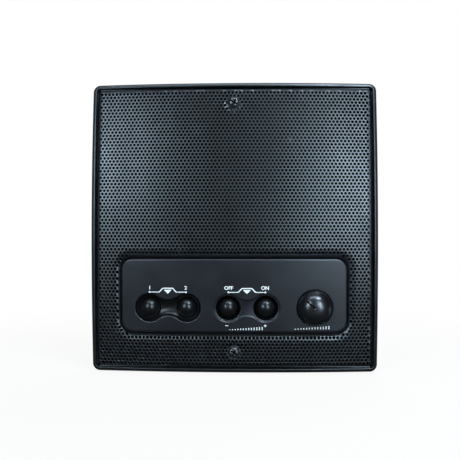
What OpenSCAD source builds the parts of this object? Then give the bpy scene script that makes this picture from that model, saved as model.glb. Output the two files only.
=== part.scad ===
// Wall intercom room station: a moulded frame with a domed, perforated grille, a control
// panel with four ball buttons and a volume knob, and a loudspeaker on the baffle behind.
// The front faces -Y, +Z is up, and the origin is the middle of the wall face.

/* [Frame] */
// Width of the frame
frame_w = 197; // [190:1:215]
// Height of the frame
frame_h = 199; // [194:1:215]
// Depth from the wall to the middle of the domed front
front_depth = 24; // [23.5:0.5:30]
// Radius of the dome that the front follows
dome_r = 850; // [800:10:1600]
// Outer corner radius of the frame
frame_corner_r = 4; // [3.6:0.2:8]
// Thickness of the frame's side wall
frame_wall = 3; // [2.4:0.1:3.4]
// Step between the side wall and the rounded front lip
lip_step = 0.25; // [0.1:0.05:0.4]
// Depth from the wall to the front of the baffle
baffle_depth = 10; // [9:0.5:10.5]
// Thickness of the baffle
baffle_t = 2.5; // [1.8:0.1:3.5]

/* [Grille] */
// Shadow gap between the frame lip and the grille
grille_gap = 1.5; // [0.8:0.1:2.2]
// Thickness of the grille sheet
grille_t = 1; // [0.7:0.1:1.3]
// How far the grille lies below the top of the lip
grille_sink = 0.5; // [0.2:0.1:1]
// Width of the rolled edge
roll_w = 2.5; // [1.5:0.1:4]
// How far the rolled edge turns back
roll_drop = 1.6; // [1:0.1:1.8]
// Distance between neighbouring holes
hole_pitch = 5.25; // [5:0.25:9]
// Diameter of the holes
hole_d = 3.1; // [2:0.1:3.4]
// Depth of the flat dimple under each wall screw
dimple_depth = 0.4; // [0.2:0.1:0.8]
// Width of the dip round the control panel
dip_w = 5.5; // [4:0.5:6.5]
// Depth of the dip round the control panel
dip_depth = 2.4; // [1:0.1:3]

/* [Wall screws] */
// Distance between the two wall screws
screw_span = 170.4; // [168:0.1:176]
// Diameter of the screw thread
screw_d = 4.1; // [3.6:0.1:4.5]
// Diameter of the plain shank in front of the thread
screw_neck_d = 3.4; // [2.8:0.1:3.5]
// Diameter of the pan head
screw_head_d = 8; // [7:0.1:9]
// Height of the pan head
screw_head_h = 2.6; // [2:0.1:3]
// Reach of the screws behind the wall face
screw_reach = 14; // [8:1:30]
// Radial room of a screw in its holes
screw_clear = 0.3; // [0.2:0.05:0.5]
// Diameter of the boss round each screw
screw_boss_d = 10; // [8.4:0.2:10.4]

/* [Control panel] */
// Width of the control panel
panel_w = 153.5; // [151:0.5:158]
// Height of the control panel
panel_h = 50; // [49.5:0.5:54]
// Height of the panel's middle below the middle of the frame
panel_drop = 46.4; // [45.8:0.1:47.4]
// Corner radius of the control panel
panel_r = 7.5; // [5:0.5:9]
// Wall of the control panel
panel_wall = 2.2; // [1.6:0.1:2.8]
// How far the panel stands proud of the dome
panel_proud = 0.8; // [0.3:0.1:2]
// Gap between the panel and the grille
panel_gap = 0.6; // [0.3:0.1:1]
// Height of the control row below the middle of the frame
row_drop = 54.7; // [54:0.1:55.4]

/* [Buttons] */
// Distance between the two buttons of a pair
button_pitch = 25.4; // [24.6:0.1:26.6]
// Middle of the left pair, left of the frame's middle
left_pair_x = 44.8; // [44:0.1:46]
// Middle of the right pair, right of the frame's middle
right_pair_x = 8.9; // [8:0.1:9.8]
// Radius of the ball on each button
ball_r = 6.9; // [6:0.1:7.2]
// How far a ball stands proud of the panel
ball_proud = 1.5; // [0.5:0.1:2.5]
// How far a button travels
button_travel = 1.5; // [0.8:0.1:2]
// Radial room round a button
button_clear = 0.3; // [0.25:0.05:0.5]
// Radius of each lobe of the dumbbell recess
lobe_r = 9.6; // [9:0.1:10.4]
// Height of the dumbbell's waist
waist_h = 10.7; // [9:0.1:12]
// Depth of the wells
well_depth = 5; // [4:0.1:5.5]
// Depth of the left scoop's straight rim
scoop_rim = 1.6; // [1:0.1:3]
// Depth of the hollow between the left pair
trough_depth = 4; // [3.4:0.1:4.6]
// Radius of the round wells of the right pair
round_well_r = 8.3; // [7.8:0.1:8.8]
// Depth of the flush step that joins the round wells
step_depth = 0.4; // [0.2:0.1:1]

/* [Volume knob] */
// Distance of the knob right of the frame's middle
knob_x = 54.8; // [54:0.1:56]
// Diameter of the knob
knob_d = 23.6; // [20:0.1:24]
// Straight skirt of the knob
knob_skirt = 1.6; // [1:0.1:3]
// Height of the knob's dome over its skirt
knob_dome = 8; // [6:0.5:10]
// Angle of the pointer groove, left of straight up
pointer_angle = 51; // [0:1:150]
// Width of the pointer groove
pointer_w = 1.4; // [0.8:0.1:2]
// Depth of the pointer groove
pointer_depth = 0.8; // [0.4:0.1:1.2]
// Diameter of the potentiometer shaft
shaft_d = 6; // [4:0.5:6.5]
// Radial running clearance of the shaft
shaft_clear = 0.05; // [0.03:0.01:0.1]

/* [Loudspeaker] */
// Diameter of the loudspeaker's flange
speaker_d = 116; // [110:1:117]
// Height of the loudspeaker's middle above the middle of the frame
speaker_rise = 22.5; // [22:0.1:23]
// Diameter of the baffle opening
opening_d = 103; // [98:1:105]
// Diameter of the cone at its outer edge
cone_d = 88; // [80:1:92]
// Depth of the basket from its flange to the magnet
basket_depth = 28; // [25:1:32]
// Diameter of the ferrite magnet
magnet_d = 64; // [56:1:72]
// Thickness of the ferrite magnet
magnet_t = 12; // [8:1:16]
// Diameter of the voice coil
coil_d = 20; // [16:1:24]
// Travel of the cone each way
cone_travel = 2; // [1:0.5:3]

/* [Circuit board] */
// Width of the circuit board
board_w = 135; // [132:1:136]
// Height of the circuit board
board_h = 33; // [31:0.5:33.5]
// Thickness of the circuit board
board_t = 1.6; // [1:0.1:2]
// Depth from the wall to the front of the board
board_depth = 4; // [3.5:0.1:4.5]
// Number of ways in the terminal block
terminal_ways = 8; // [4:1:10]

/* [Hidden] */

$fn = 64;
dome_fn = 360;
cut = 1;
seat_gap = 0.15;

frame_black = [0.07, 0.07, 0.075];
grille_black = [0.10, 0.11, 0.115];
panel_charcoal = [0.19, 0.21, 0.23];
button_black = [0.05, 0.05, 0.055];
screw_black = [0.12, 0.12, 0.12];
steel = [0.72, 0.73, 0.75];
zinc = [0.62, 0.63, 0.64];
paper_grey = [0.17, 0.17, 0.17];
board_green = [0.10, 0.33, 0.19];

// Depths along Y, where the wall face is zero and the front is negative
baffle_front = -baffle_depth;
baffle_rear = baffle_front + baffle_t;
board_front = -board_depth;
board_rear = board_front + board_t;

// Height of the dome over any point of the front
function face_y(x, z) = dome_r - front_depth - sqrt(dome_r * dome_r - x * x - z * z);
function grille_y(x, z) = face_y(x, z) + grille_sink;

// Heights along Z
panel_z = -panel_drop;
row_z = -row_drop;
speaker_z = speaker_rise;
screw_zs = [-screw_span / 2, screw_span / 2];

// The panel's front is a bend of the dome's radius that leans as the dome does at the panel
panel_lean = asin(panel_drop / dome_r);
panel_bend_r = dome_r + panel_proud;
function panel_y(x, z) =
    dome_r - front_depth
    - (sqrt(panel_bend_r * panel_bend_r - x * x) + z * sin(panel_lean)) / cos(panel_lean);

// Half sizes of the grille and of its edges round the panel
grille_hw = frame_w / 2 - frame_wall - grille_gap;
grille_hh = frame_h / 2 - frame_wall - grille_gap;
cutout_hw = panel_w / 2 + panel_gap;
cutout_hh = panel_h / 2 + panel_gap;

// Flat seats in the grille under the wall screws
dimple_hw = screw_head_d / 2 + 1.2;
dimple_ramp = 3;
dimple_y = grille_y(0, screw_span / 2) + dimple_depth;

// Buttons from left to right, with the middle of each one's pair
button_xs = [
    -left_pair_x - button_pitch / 2, -left_pair_x + button_pitch / 2,
    right_pair_x - button_pitch / 2, right_pair_x + button_pitch / 2
];
pair_xs = [-left_pair_x, -left_pair_x, right_pair_x, right_pair_x];
function pair_y(i) = panel_y(pair_xs[i], row_z);
bore_r = ball_r + button_clear;
cup_floor = 2;
cup_bury = 1;
bowl_ledge = 0.3;
trough_r = waist_h / 2 - bowl_ledge;
flange_r = bore_r + 0.9;
flange_t = 1.2;
flange_gap = 0.2;
function floor_rear(i) = pair_y(i) + well_depth + cup_floor;

// Switches under the buttons
switch_w = 12;
switch_h = 6.5;
switch_front = board_front - switch_h;
plunger_r = 1.7;
plunger_clear = 0.3;
plunger_bury = 2;
tip_y = floor_rear(0) + flange_gap + flange_t;

// Volume control
knob_z = row_z;
knob_seat = panel_y(knob_x, knob_z);
knob_r = knob_d / 2;
knob_sunk = 0.5;
knob_rear = knob_seat + knob_sunk;
knob_gap = 0.6;
knob_front = knob_rear - knob_skirt - knob_dome;
knob_dome_r = (knob_r * knob_r + knob_dome * knob_dome) / (2 * knob_dome);
shaft_r = shaft_d / 2;
shaft_tip = knob_front + 3;
pot_r = 8.5;
pot_t = 8;
pot_front = board_front - pot_t;
bushing_t = 4;
bushing_r = shaft_r + 1;

// Loudspeaker, measured back from the front of its flange: its gasket keeps the pleated
// surround clear of the baffle
surround_w = 5.5;
surround_t = 0.7;
pleat_r = (surround_w + surround_t) / 4;
pleat_room = 0.35;
glue_gap = 0.1;
gasket_t = glue_gap + pleat_r + pleat_room;
flange_front = baffle_rear + gasket_t;
speaker_r = speaker_d / 2;
opening_r = opening_d / 2;
basket_t = 1.2;
cone_r = cone_d / 2;
coil_r = coil_d / 2;
coil_t = 0.5;
coil_gap = 0.6;
coil_bury = 2;
pole_gap = 0.5;
cone_t = 0.8;
neck_depth = basket_depth * 0.52;
shelf_depth = basket_depth * 0.72;
shelf_r = coil_r + 18;
plate_t = 4;
plate_r = magnet_d / 2 - 2;

// Baffle window behind the control panel, and what is screwed beside it
window_ledge = 0.5;
window_edge = 2.5;
window_hw = board_w / 2 - window_ledge;
window_lo = panel_z - panel_h / 2 + window_edge;
window_hi = speaker_z - speaker_r - window_edge;
window_z = (window_lo + window_hi) / 2;
window_h = window_hi - window_lo;
panel_boss_r = 2.9;
boss_bite = 0.8;
boss_inset = 9;
panel_boss_x = panel_w / 2 - panel_wall - panel_boss_r + boss_bite;
panel_boss_dz = panel_h / 2 - boss_inset;
board_lift = 0.5;
board_z = row_z + board_lift;
board_post_r = 3;
board_post_xs = [-left_pair_x, (button_xs[3] + knob_x) / 2];
post_room = 2;
board_post_dz = window_h / 2 - board_post_r - post_room;
small_screw_r = 1.4;
small_head_r = 2.7;
small_head_h = 1.8;
pilot_r = small_screw_r + 0.1;
pilot_depth = 6;
pilot_spare = 0.5;
thread_depth = pilot_depth - pilot_spare;
thread_gap = 1.5;
speaker_hole_r = speaker_r - small_head_r - 0.5;
gasket_r = speaker_hole_r - small_screw_r - 1;

// A flat outline in X and Z, drawn between two depths
module slab(y_front, y_rear) {
    translate([0, y_rear, 0]) rotate([90, 0, 0]) linear_extrude(y_rear - y_front) children();
}

// A round bar along Y between two depths
module bar(x, z, r, y_front, y_rear) {
    translate([x, y_rear, z]) rotate([90, 0, 0]) cylinder(r = r, h = y_rear - y_front);
}

// A profile turned about an axis along Y, with its own depth measured back from y_front
module turned(x, z, y_front) {
    translate([x, y_front, z]) rotate([-90, 0, 0]) rotate_extrude($fn = 96) children();
}

// Like bars at the four screws of the control panel, the board or the loudspeaker
panel_fixings = [for (sx = [-1, 1], sz = [-1, 1]) [sx * panel_boss_x, panel_z + sz * panel_boss_dz]];
board_fixings = [for (x = board_post_xs, s = [-1, 1]) [x, board_z + s * board_post_dz]];
speaker_fixings = [for (a = [45:90:315]) [speaker_hole_r * cos(a), speaker_z + speaker_hole_r * sin(a)]];
module panel_bars(r, y_front, y_rear) for (p = panel_fixings) bar(p[0], p[1], r, y_front, y_rear);
module board_bars(r, y_front, y_rear) for (p = board_fixings) bar(p[0], p[1], r, y_front, y_rear);
module speaker_bars(r, y_front, y_rear) for (p = speaker_fixings) bar(p[0], p[1], r, y_front, y_rear);

module rounded_rect(w, h, r) {
    square([w - 2 * r, h], center = true);
    square([w, h - 2 * r], center = true);
    for (sx = [-1, 1], sy = [-1, 1]) translate([sx * (w / 2 - r), sy * (h / 2 - r)]) circle(r);
}

// Points of an arc in a flat outline
function arc_points(x, y, r, from, to, steps) =
    [for (k = [0:steps]) let (a = from + (to - from) * k / steps) [x + r * cos(a), y + r * sin(a)]];

// Two round lobes joined by a waist whose sides are arcs that meet both lobes smoothly
module dumbbell(pitch, r, waist) {
    half = pitch / 2;
    arc_r = (half * half + waist * waist / 4 - r * r) / (2 * r - waist);
    rise = waist / 2 + arc_r;
    turn = atan2(rise, -half);
    inset = (2 * turn - 180) / 16;
    polygon(concat(
        arc_points(half, 0, r, -turn, turn, 24),
        arc_points(0, rise, arc_r, turn - 180 - inset, inset - turn, 6),
        arc_points(-half, 0, r, 180 - turn, 180 + turn, 24),
        arc_points(0, -rise, arc_r, turn - inset, 180 - turn + inset, 6)
    ));
}

// Everything behind the panel's bent front, taken in by depth
module panel_bend(depth) {
    translate([0, dome_r - front_depth, 0]) rotate([panel_lean, 0, 0])
        cylinder(r = panel_bend_r - depth, h = frame_h * 2, center = true, $fn = dome_fn);
}

// Points of a rounded rectangle, one ring of equal count whatever its inset
lip_corner_steps = 5;
lip_side_steps = 8;
function ring_corner(k, w, h, r) =
    let (sx = (k == 0 || k == 3) ? 1 : -1, sz = k < 2 ? 1 : -1)
    [for (s = [0:lip_corner_steps])
        let (a = 90 * (k + s / lip_corner_steps))
        [sx * (w / 2 - r) + r * cos(a), sz * (h / 2 - r) + r * sin(a)]];
function ring_side(a, b) = [for (s = [1:lip_side_steps - 1]) a + (b - a) * s / lip_side_steps];
function ring(w, h, r) =
    let (c = [for (k = [0:3]) ring_corner(k, w, h, r)])
    [for (k = [0:3]) each concat(c[k], ring_side(c[k][lip_corner_steps], c[(k + 1) % 4][0]))];

// Half-round front lip that follows the dome, as rings from the outer foot to the inner foot
module frame_lip() {
    nose_r = frame_wall / 2 - lip_step;
    foot = baffle_front + cut;
    angles = [0:30:180];
    sections = concat(
        [[lip_step, 0, true]],
        [for (a = angles) [frame_wall / 2 - nose_r * cos(a), nose_r * (1 - sin(a)), false]],
        [[frame_wall - lip_step, 0, true]]);
    rings = [for (s = sections)
        [for (p = ring(frame_w - 2 * s[0], frame_h - 2 * s[0], frame_corner_r - s[0]))
            [p[0], s[2] ? foot : face_y(p[0], p[1]) + s[1], p[1]]]];
    n = len(rings[0]);
    m = len(rings);
    faces = [for (k = [0:m - 1], i = [0:n - 1])
        let (a = k * n + i, b = k * n + (i + 1) % n, l = (k + 1) % m,
             c = l * n + (i + 1) % n, d = l * n + i)
        each [[a, c, b], [a, d, c]]];
    polyhedron([for (r = rings) each r], faces);
}

module front_frame() color(frame_black) {
    difference() {
        union() {
            difference() {
                slab(baffle_front, 0) rounded_rect(frame_w, frame_h, frame_corner_r);
                slab(baffle_rear, cut)
                    rounded_rect(frame_w - 2 * frame_wall, frame_h - 2 * frame_wall,
                                 frame_corner_r - frame_wall);
            }
            frame_lip();
            for (z = screw_zs)
                bar(0, z, screw_boss_d / 2, dimple_y + grille_t + seat_gap, baffle_rear);
        }
        bar(0, speaker_z, opening_r, baffle_front - cut, baffle_rear + cut);
        slab(baffle_front - cut, baffle_rear + cut) translate([0, window_z])
            rounded_rect(2 * window_hw, window_h, panel_wall);
        for (z = screw_zs)
            bar(0, z, screw_d / 2 + screw_clear, -front_depth, cut);
        panel_bars(small_screw_r + screw_clear, baffle_front - cut, baffle_rear + cut);
        speaker_bars(pilot_r, baffle_front - cut, baffle_rear + cut);
    }
}

// Grid lines of the grille sheet, close together where it bends
function spaced(a, b, n) = [for (k = [1:n - 1]) a + (b - a) * k / n];
grid_tol = 0.01;
dip_foot = 1.5;
dip_hw = cutout_hw + dip_foot;
dip_hh = cutout_hh + dip_foot;
slope_hw = panel_w / 2 + dip_w;
slope_hh = panel_h / 2 + dip_w;
screw_z = screw_span / 2;
half_xs = concat(
    [dimple_hw, dimple_hw + dimple_ramp], spaced(dimple_hw + dimple_ramp, dip_hw, 3),
    [dip_hw, slope_hw, grille_hw - roll_w, grille_hw]);
grid_xs = concat([for (k = [len(half_xs) - 1:-1:0]) -half_xs[k]], half_xs);
grid_zs = concat(
    [-grille_hh, -grille_hh + roll_w, -screw_z - dimple_hw, -screw_z + dimple_hw,
     panel_z - slope_hh, panel_z - dip_hh, panel_z + dip_hh, panel_z + slope_hh],
    spaced(panel_z + slope_hh, screw_z - dimple_hw - dimple_ramp, 5),
    [screw_z - dimple_hw - dimple_ramp, screw_z - dimple_hw, screw_z + dimple_hw,
     grille_hh - roll_w, grille_hh]);
function in_dip(x, z) = abs(x) < dip_hw + grid_tol && abs(z - panel_z) < dip_hh + grid_tol;
function in_dimple(x, z) =
    abs(x) < dimple_hw + grid_tol && abs(abs(z) - screw_z) < dimple_hw + grid_tol;
function at_edge(x, z) = abs(x) > grille_hw - grid_tol || abs(z) > grille_hh - grid_tol;
function sheet_y(x, z) =
    in_dimple(x, z) ? dimple_y
    : grille_y(x, z) + (in_dip(x, z) ? dip_depth : 0) + (at_edge(x, z) ? roll_drop : 0);

module grille_sheet() {
    nx = len(grid_xs);
    nz = len(grid_zs);
    count = nx * nz;
    points = [for (t = [0, grille_t], z = grid_zs, x = grid_xs) [x, sheet_y(x, z) + t, z]];
    front = [for (j = [0:nz - 2], i = [0:nx - 2])
        let (a = j * nx + i)
        each [[a, a + nx + 1, a + 1], [a, a + nx, a + nx + 1]]];
    rear = [for (f = front) [f[2] + count, f[1] + count, f[0] + count]];
    border = concat([for (i = [0:nx - 2]) i], [for (j = [0:nz - 2]) j * nx + nx - 1],
                    [for (i = [nx - 1:-1:1]) (nz - 1) * nx + i], [for (j = [nz - 1:-1:1]) j * nx]);
    sides = [for (k = [0:len(border) - 1])
        let (a = border[k], b = border[(k + 1) % len(border)])
        each [[a, b, b + count], [a, b + count, a + count]]];
    polyhedron(points, concat(front, rear, sides));
}

// A hole is punched where it stays clear of the edges, the dip and the screws
hole_rim = 0.8;
hole_hw = grille_hw - roll_w - hole_d / 2;
hole_hh = grille_hh - roll_w - hole_d / 2;
function hole_fits(x, z) =
    abs(x) < hole_hw && abs(z) < hole_hh
    && (abs(x) > slope_hw + hole_d / 2 || abs(z - panel_z) > slope_hh + hole_d / 2)
    && min([for (s = screw_zs) norm([x, z - s])]) > (screw_head_d + hole_d) / 2 + hole_rim;

module speaker_grille() color(grille_black) {
    row_pitch = hole_pitch * sqrt(3) / 2;
    rows = ceil(grille_hh / row_pitch);
    columns = ceil(grille_hw / hole_pitch);
    difference() {
        grille_sheet();
        slab(-front_depth - cut, 0) translate([0, panel_z])
            rounded_rect(2 * cutout_hw, 2 * cutout_hh, panel_r + panel_gap);
        for (z = screw_zs) bar(0, z, screw_d / 2 + screw_clear, -front_depth - cut, 0);
        for (j = [-rows:rows], i = [-columns:columns]) {
            x = (i + (j % 2 == 0 ? 0 : 0.5)) * hole_pitch;
            z = j * row_pitch;
            if (hole_fits(x, z)) bar(x, z, hole_d / 2, -front_depth - cut, 0);
        }
    }
}

// Pan-head screw with a cross recess, seated at y and pointing back
module cross_screw(x, z, y, head_r, head_h, shank_r, reach, turn) {
    crown_r = (head_r * head_r + head_h * head_h) / (2 * head_h);
    difference() {
        union() {
            intersection() {
                bar(x, z, head_r, y - head_h, y);
                translate([x, y - head_h + crown_r, z]) sphere(r = crown_r);
            }
            bar(x, z, shank_r, y - head_h / 2, reach);
        }
        for (a = [turn, turn + 90])
            translate([x, y - head_h, z]) rotate([0, a, 0])
                cube([head_r * 1.2, head_h, head_r * 0.24], center = true);
    }
}

// Wall screws, with a plain neck in the frame and a thread behind the baffle
module wall_screws() color(screw_black)
    for (z = screw_zs) {
        cross_screw(0, z, dimple_y - seat_gap, screw_head_d / 2, screw_head_h, screw_neck_d / 2, 0, 45);
        bar(0, z, screw_d / 2, baffle_rear + thread_gap, screw_reach);
    }

// Fixing screw that is driven forward from behind, seated at y
module rear_screw(x, z, y, reach) {
    mirror([0, 1, 0]) cross_screw(x, z, -y, small_head_r, small_head_h, small_screw_r, reach, 20);
}

// Bosses, cups and backing behind the panel's front wall
module panel_inside() {
    for (i = [0:3]) bar(button_xs[i], row_z, lobe_r + cup_floor, pair_y(i) + cup_bury, floor_rear(i));
    slab(pair_y(0) + cup_bury, pair_y(0) + trough_depth + panel_wall) translate([pair_xs[0], row_z])
        square([button_pitch, waist_h + 2 * panel_wall], center = true);
    slab(pair_y(2) + cup_bury, pair_y(2) + step_depth + panel_wall) translate([pair_xs[2], row_z])
        square([button_pitch, waist_h + 2 * panel_wall], center = true);
    bar(knob_x, knob_z, knob_r + knob_gap + panel_wall, knob_seat + cup_bury,
        knob_seat + panel_wall + knob_gap);
    panel_bars(panel_boss_r, panel_y(panel_boss_x, panel_z) + cup_bury, 2 * cut);
}

// Bowl that narrows from r at one depth of the panel to the button's bore at the well's floor
module bowl(i, r, depth) {
    translate([button_xs[i], pair_y(i) + well_depth, row_z]) rotate([90, 0, 0])
        cylinder(r1 = bore_r + bowl_ledge, r2 = r, h = well_depth - depth);
}

// Wells, bores and screw pilots
module panel_cuts() {
    front = -front_depth - cut - panel_proud;
    for (p = [[0, scoop_rim], [2, step_depth]])
        slab(front, pair_y(p[0]) + p[1]) translate([pair_xs[p[0]], row_z])
            dumbbell(button_pitch, lobe_r, waist_h);
    for (i = [0, 1]) bowl(i, lobe_r - bowl_ledge, scoop_rim - bowl_ledge);
    for (i = [2, 3]) bowl(i, round_well_r, -panel_proud);
    translate([pair_xs[0], pair_y(0) + trough_depth - trough_r, row_z]) rotate([0, 90, 0])
        cylinder(r = trough_r, h = button_pitch, center = true);
    for (i = [0:3]) bar(button_xs[i], row_z, bore_r, front, floor_rear(i) + cut);
    bar(knob_x, knob_z, knob_r + knob_gap, front, knob_rear + knob_gap);
    bar(knob_x, knob_z, shaft_r + button_clear, front, 0);
    panel_bars(pilot_r, baffle_front - pilot_depth, baffle_front + cut);
}

module control_panel() color(panel_charcoal) {
    difference() {
        intersection() {
            slab(-front_depth - 2 * panel_proud, baffle_front) translate([0, panel_z])
                rounded_rect(panel_w, panel_h, panel_r);
            panel_bend(0);
        }
        difference() {
            intersection() {
                slab(-front_depth - cut, cut) translate([0, panel_z])
                    rounded_rect(panel_w - 2 * panel_wall, panel_h - 2 * panel_wall, panel_r - panel_wall);
                panel_bend(panel_wall);
            }
            panel_inside();
        }
        panel_cuts();
    }
    difference() {
        for (p = board_fixings) bar(p[0], p[1], board_post_r, panel_y(p[0], board_z) + cup_bury, board_front);
        board_bars(pilot_r, board_front - pilot_depth, board_front + cut);
    }
}

module panel_screws() color(zinc)
    for (p = panel_fixings) rear_screw(p[0], p[1], baffle_rear, thread_depth - baffle_front);

// Ball button: a ball on a plunger with a stop flange behind the panel's floor
module button(i) color(button_black) {
    front = pair_y(i) - ball_proud;
    flange_y = floor_rear(i) + flange_gap;
    turned(button_xs[i], row_z, front) {
        intersection() {
            translate([0, ball_r]) circle(ball_r);
            square(ball_r);
        }
        translate([0, ball_r]) square([ball_r, flange_y + flange_t - front - ball_r]);
        translate([0, flange_y - front]) square([flange_r, flange_t]);
        translate([0, flange_y - front]) square([2 * plunger_r, tip_y - flange_y]);
    }
}
module listen_button() button(0);
module talk_button() button(1);
module volume_down_button() button(2);
module volume_up_button() button(3);

module plunger(i) color("ivory")
    bar(button_xs[i], row_z, plunger_r, tip_y, switch_front + plunger_bury);
module listen_plunger() plunger(0);
module talk_plunger() plunger(1);
module volume_down_plunger() plunger(2);
module volume_up_plunger() plunger(3);

module switch_bodies() color([0.15, 0.15, 0.16])
    for (x = button_xs) difference() {
        slab(switch_front, board_front) translate([x, row_z]) square(switch_w, center = true);
        bar(x, row_z, plunger_r + plunger_clear, switch_front - cut,
            switch_front + plunger_bury + button_travel + 0.5);
    }

module volume_knob() color(button_black) difference() {
    union() {
        bar(knob_x, knob_z, knob_r, knob_rear - knob_skirt, knob_rear);
        intersection() {
            translate([knob_x, knob_front + knob_dome_r, knob_z]) sphere(r = knob_dome_r);
            bar(knob_x, knob_z, knob_r, knob_front - cut, knob_rear - knob_skirt);
        }
    }
    bar(knob_x, knob_z, shaft_r + shaft_clear, shaft_tip - 0.2, knob_rear + cut);
    difference() {
        translate([knob_x, 0, knob_z]) rotate([0, -pointer_angle, 0])
            translate([-pointer_w / 2, knob_front - cut, 1.5]) cube([pointer_w, knob_dome, knob_r]);
        translate([knob_x, knob_front + knob_dome_r, knob_z]) sphere(r = knob_dome_r - pointer_depth);
    }
}

module potentiometer_shaft() color(steel)
    bar(knob_x, knob_z, shaft_r, shaft_tip, pot_front + 3);

module potentiometer_body() color(zinc) difference() {
    union() {
        bar(knob_x, knob_z, pot_r, pot_front, board_front);
        bar(knob_x, knob_z, bushing_r, pot_front - bushing_t, pot_front);
    }
    bar(knob_x, knob_z, shaft_r + shaft_clear, pot_front - bushing_t - cut, pot_front + 3.5);
}

module circuit_board() color(board_green) difference() {
    slab(board_front, board_rear) translate([0, board_z]) square([board_w, board_h], center = true);
    board_bars(small_screw_r + screw_clear, board_front - cut, board_rear + cut);
}

module board_screws() color(zinc)
    for (p = board_fixings) rear_screw(p[0], p[1], board_rear, thread_depth - board_front);

// Screw terminals on the rear of the board
way_pitch = 5.08;
terminal_w = terminal_ways * way_pitch;
terminal_x = -18;
terminal_z = board_z - 8;
terminal_d = 10;
terminal_hgt = 10.5;
terminal_screw_r = 1.9;
terminal_screw_h = 3;
terminal_sink = 2.5;
terminal_top = board_rear + terminal_hgt;
terminal_screw_y = terminal_top - terminal_sink;
mouth_h = 3.4;
mouth_d = 3.5;
mouth_rib = 1.5;
function way_x(k) = terminal_x + (k - (terminal_ways - 1) / 2) * way_pitch;

module terminal_block() color([0.12, 0.35, 0.22]) difference() {
    slab(board_rear, terminal_top) translate([terminal_x, terminal_z])
        square([terminal_w, terminal_d], center = true);
    for (k = [0:terminal_ways - 1]) {
        bar(way_x(k), terminal_z, terminal_screw_r + screw_clear,
            terminal_screw_y - terminal_screw_h, terminal_top + cut);
        translate([way_x(k), board_rear + mouth_h, terminal_z - terminal_d / 2])
            cube([way_pitch - mouth_rib, mouth_h, 2 * mouth_d], center = true);
    }
}

module terminal_screws() color(steel)
    for (k = [0:terminal_ways - 1]) difference() {
        bar(way_x(k), terminal_z, terminal_screw_r, terminal_screw_y - terminal_screw_h, terminal_screw_y);
        translate([way_x(k), terminal_screw_y, terminal_z])
            cube([2 * terminal_screw_r + cut, 1, 0.6], center = true);
    }

// Parts on the rear of the board
can_r = 4;
can_h = 11;
can_xs = [14, 24, 52];
module capacitors() color([0.10, 0.14, 0.30])
    for (x = can_xs) difference() {
        bar(x, terminal_z, can_r, board_rear, board_rear + can_h);
        translate([x, board_rear + can_h / 5, terminal_z]) rotate([90, 0, 0])
            rotate_extrude() translate([can_r, 0]) circle(0.5, $fn = 24);
    }

chip_w = 36;
chip_d = 8;
chip_t = 4;
module control_chip() color([0.08, 0.08, 0.08]) {
    slab(board_rear, board_rear + chip_t) translate([0, board_z + board_h / 2 - chip_d / 2 - 4])
        square([chip_w, chip_d], center = true);
}

module speaker_gasket() color([0.20, 0.19, 0.17]) difference() {
    bar(0, speaker_z, speaker_r, baffle_rear, flange_front);
    bar(0, speaker_z, gasket_r, baffle_rear - cut, flange_front + cut);
    speaker_bars(small_screw_r + screw_clear, baffle_rear - cut, flange_front + cut);
}

// Stamped basket: flange, conical wall with four windows, spider shelf and foot
module speaker_basket() color(zinc) difference() {
    wall_top = cone_r + 5;
    wall_foot = shelf_r + 1.5;
    turned(0, speaker_z, flange_front) polygon([
        [wall_top, 0], [speaker_r, 0], [speaker_r, basket_t], [wall_top + 1.5 * basket_t, basket_t],
        [wall_foot + basket_t, shelf_depth], [wall_foot + basket_t, basket_depth],
        [coil_r + 4, basket_depth], [coil_r + 4, basket_depth - basket_t],
        [wall_foot, basket_depth - basket_t], [wall_foot, shelf_depth + basket_t],
        [shelf_r - 2.5, shelf_depth + basket_t], [shelf_r - 2.5, shelf_depth], [wall_foot - 0.5, shelf_depth],
        [wall_top, basket_t]]);
    for (a = [0:90:270])
        translate([0, flange_front + (shelf_depth + basket_t) / 2 + 0.5, speaker_z]) rotate([0, a, 0])
            translate([speaker_r, 0, 0])
                cube([2 * (speaker_r - wall_foot) - 2, shelf_depth - 2 * basket_t - 2, coil_d * 1.7],
                     center = true);
    speaker_bars(small_screw_r + screw_clear, flange_front - cut, flange_front + basket_t + cut);
}

module speaker_screws() color(zinc)
    for (p = speaker_fixings) rear_screw(p[0], p[1], flange_front + basket_t, -baffle_front);

// Tag strip for the leads on the rear of the flange
module speaker_terminals() color([0.55, 0.40, 0.22]) {
    strip_y = flange_front + basket_t;
    strip = [3.6, 1.6, 18];
    tag = [0.8, 6, 3];
    translate([speaker_r - strip[0] - 0.8, strip_y, speaker_z - strip[2] / 2]) cube(strip);
    for (s = [-1, 1])
        translate([speaker_r - strip[0], strip_y + strip[1], speaker_z + s * strip[2] / 4 - tag[2] / 2])
            cube(tag);
}

plate_y = flange_front + basket_depth;
magnet_y = plate_y + plate_t;
yoke_y = magnet_y + magnet_t;

module top_plate() color(steel) difference() {
    bar(0, speaker_z, plate_r, plate_y, magnet_y);
    bar(0, speaker_z, coil_r + coil_gap, plate_y - cut, magnet_y + cut);
}

module magnet() color([0.20, 0.20, 0.21]) difference() {
    bar(0, speaker_z, magnet_d / 2, magnet_y, yoke_y);
    bar(0, speaker_z, coil_r + 6, magnet_y - cut, yoke_y + cut);
}

module back_plate() color(steel) {
    bar(0, speaker_z, plate_r, yoke_y, yoke_y + plate_t);
    bar(0, speaker_z, coil_r - coil_t - pole_gap, plate_y, yoke_y + 0.01);
}

module voice_coil() color([0.62, 0.42, 0.22]) difference() {
    front = flange_front + neck_depth - coil_bury;
    rear = magnet_y + cone_travel;
    bar(0, speaker_z, coil_r, front, rear);
    bar(0, speaker_z, coil_r - coil_t, front - cut, rear + cut);
}

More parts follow.
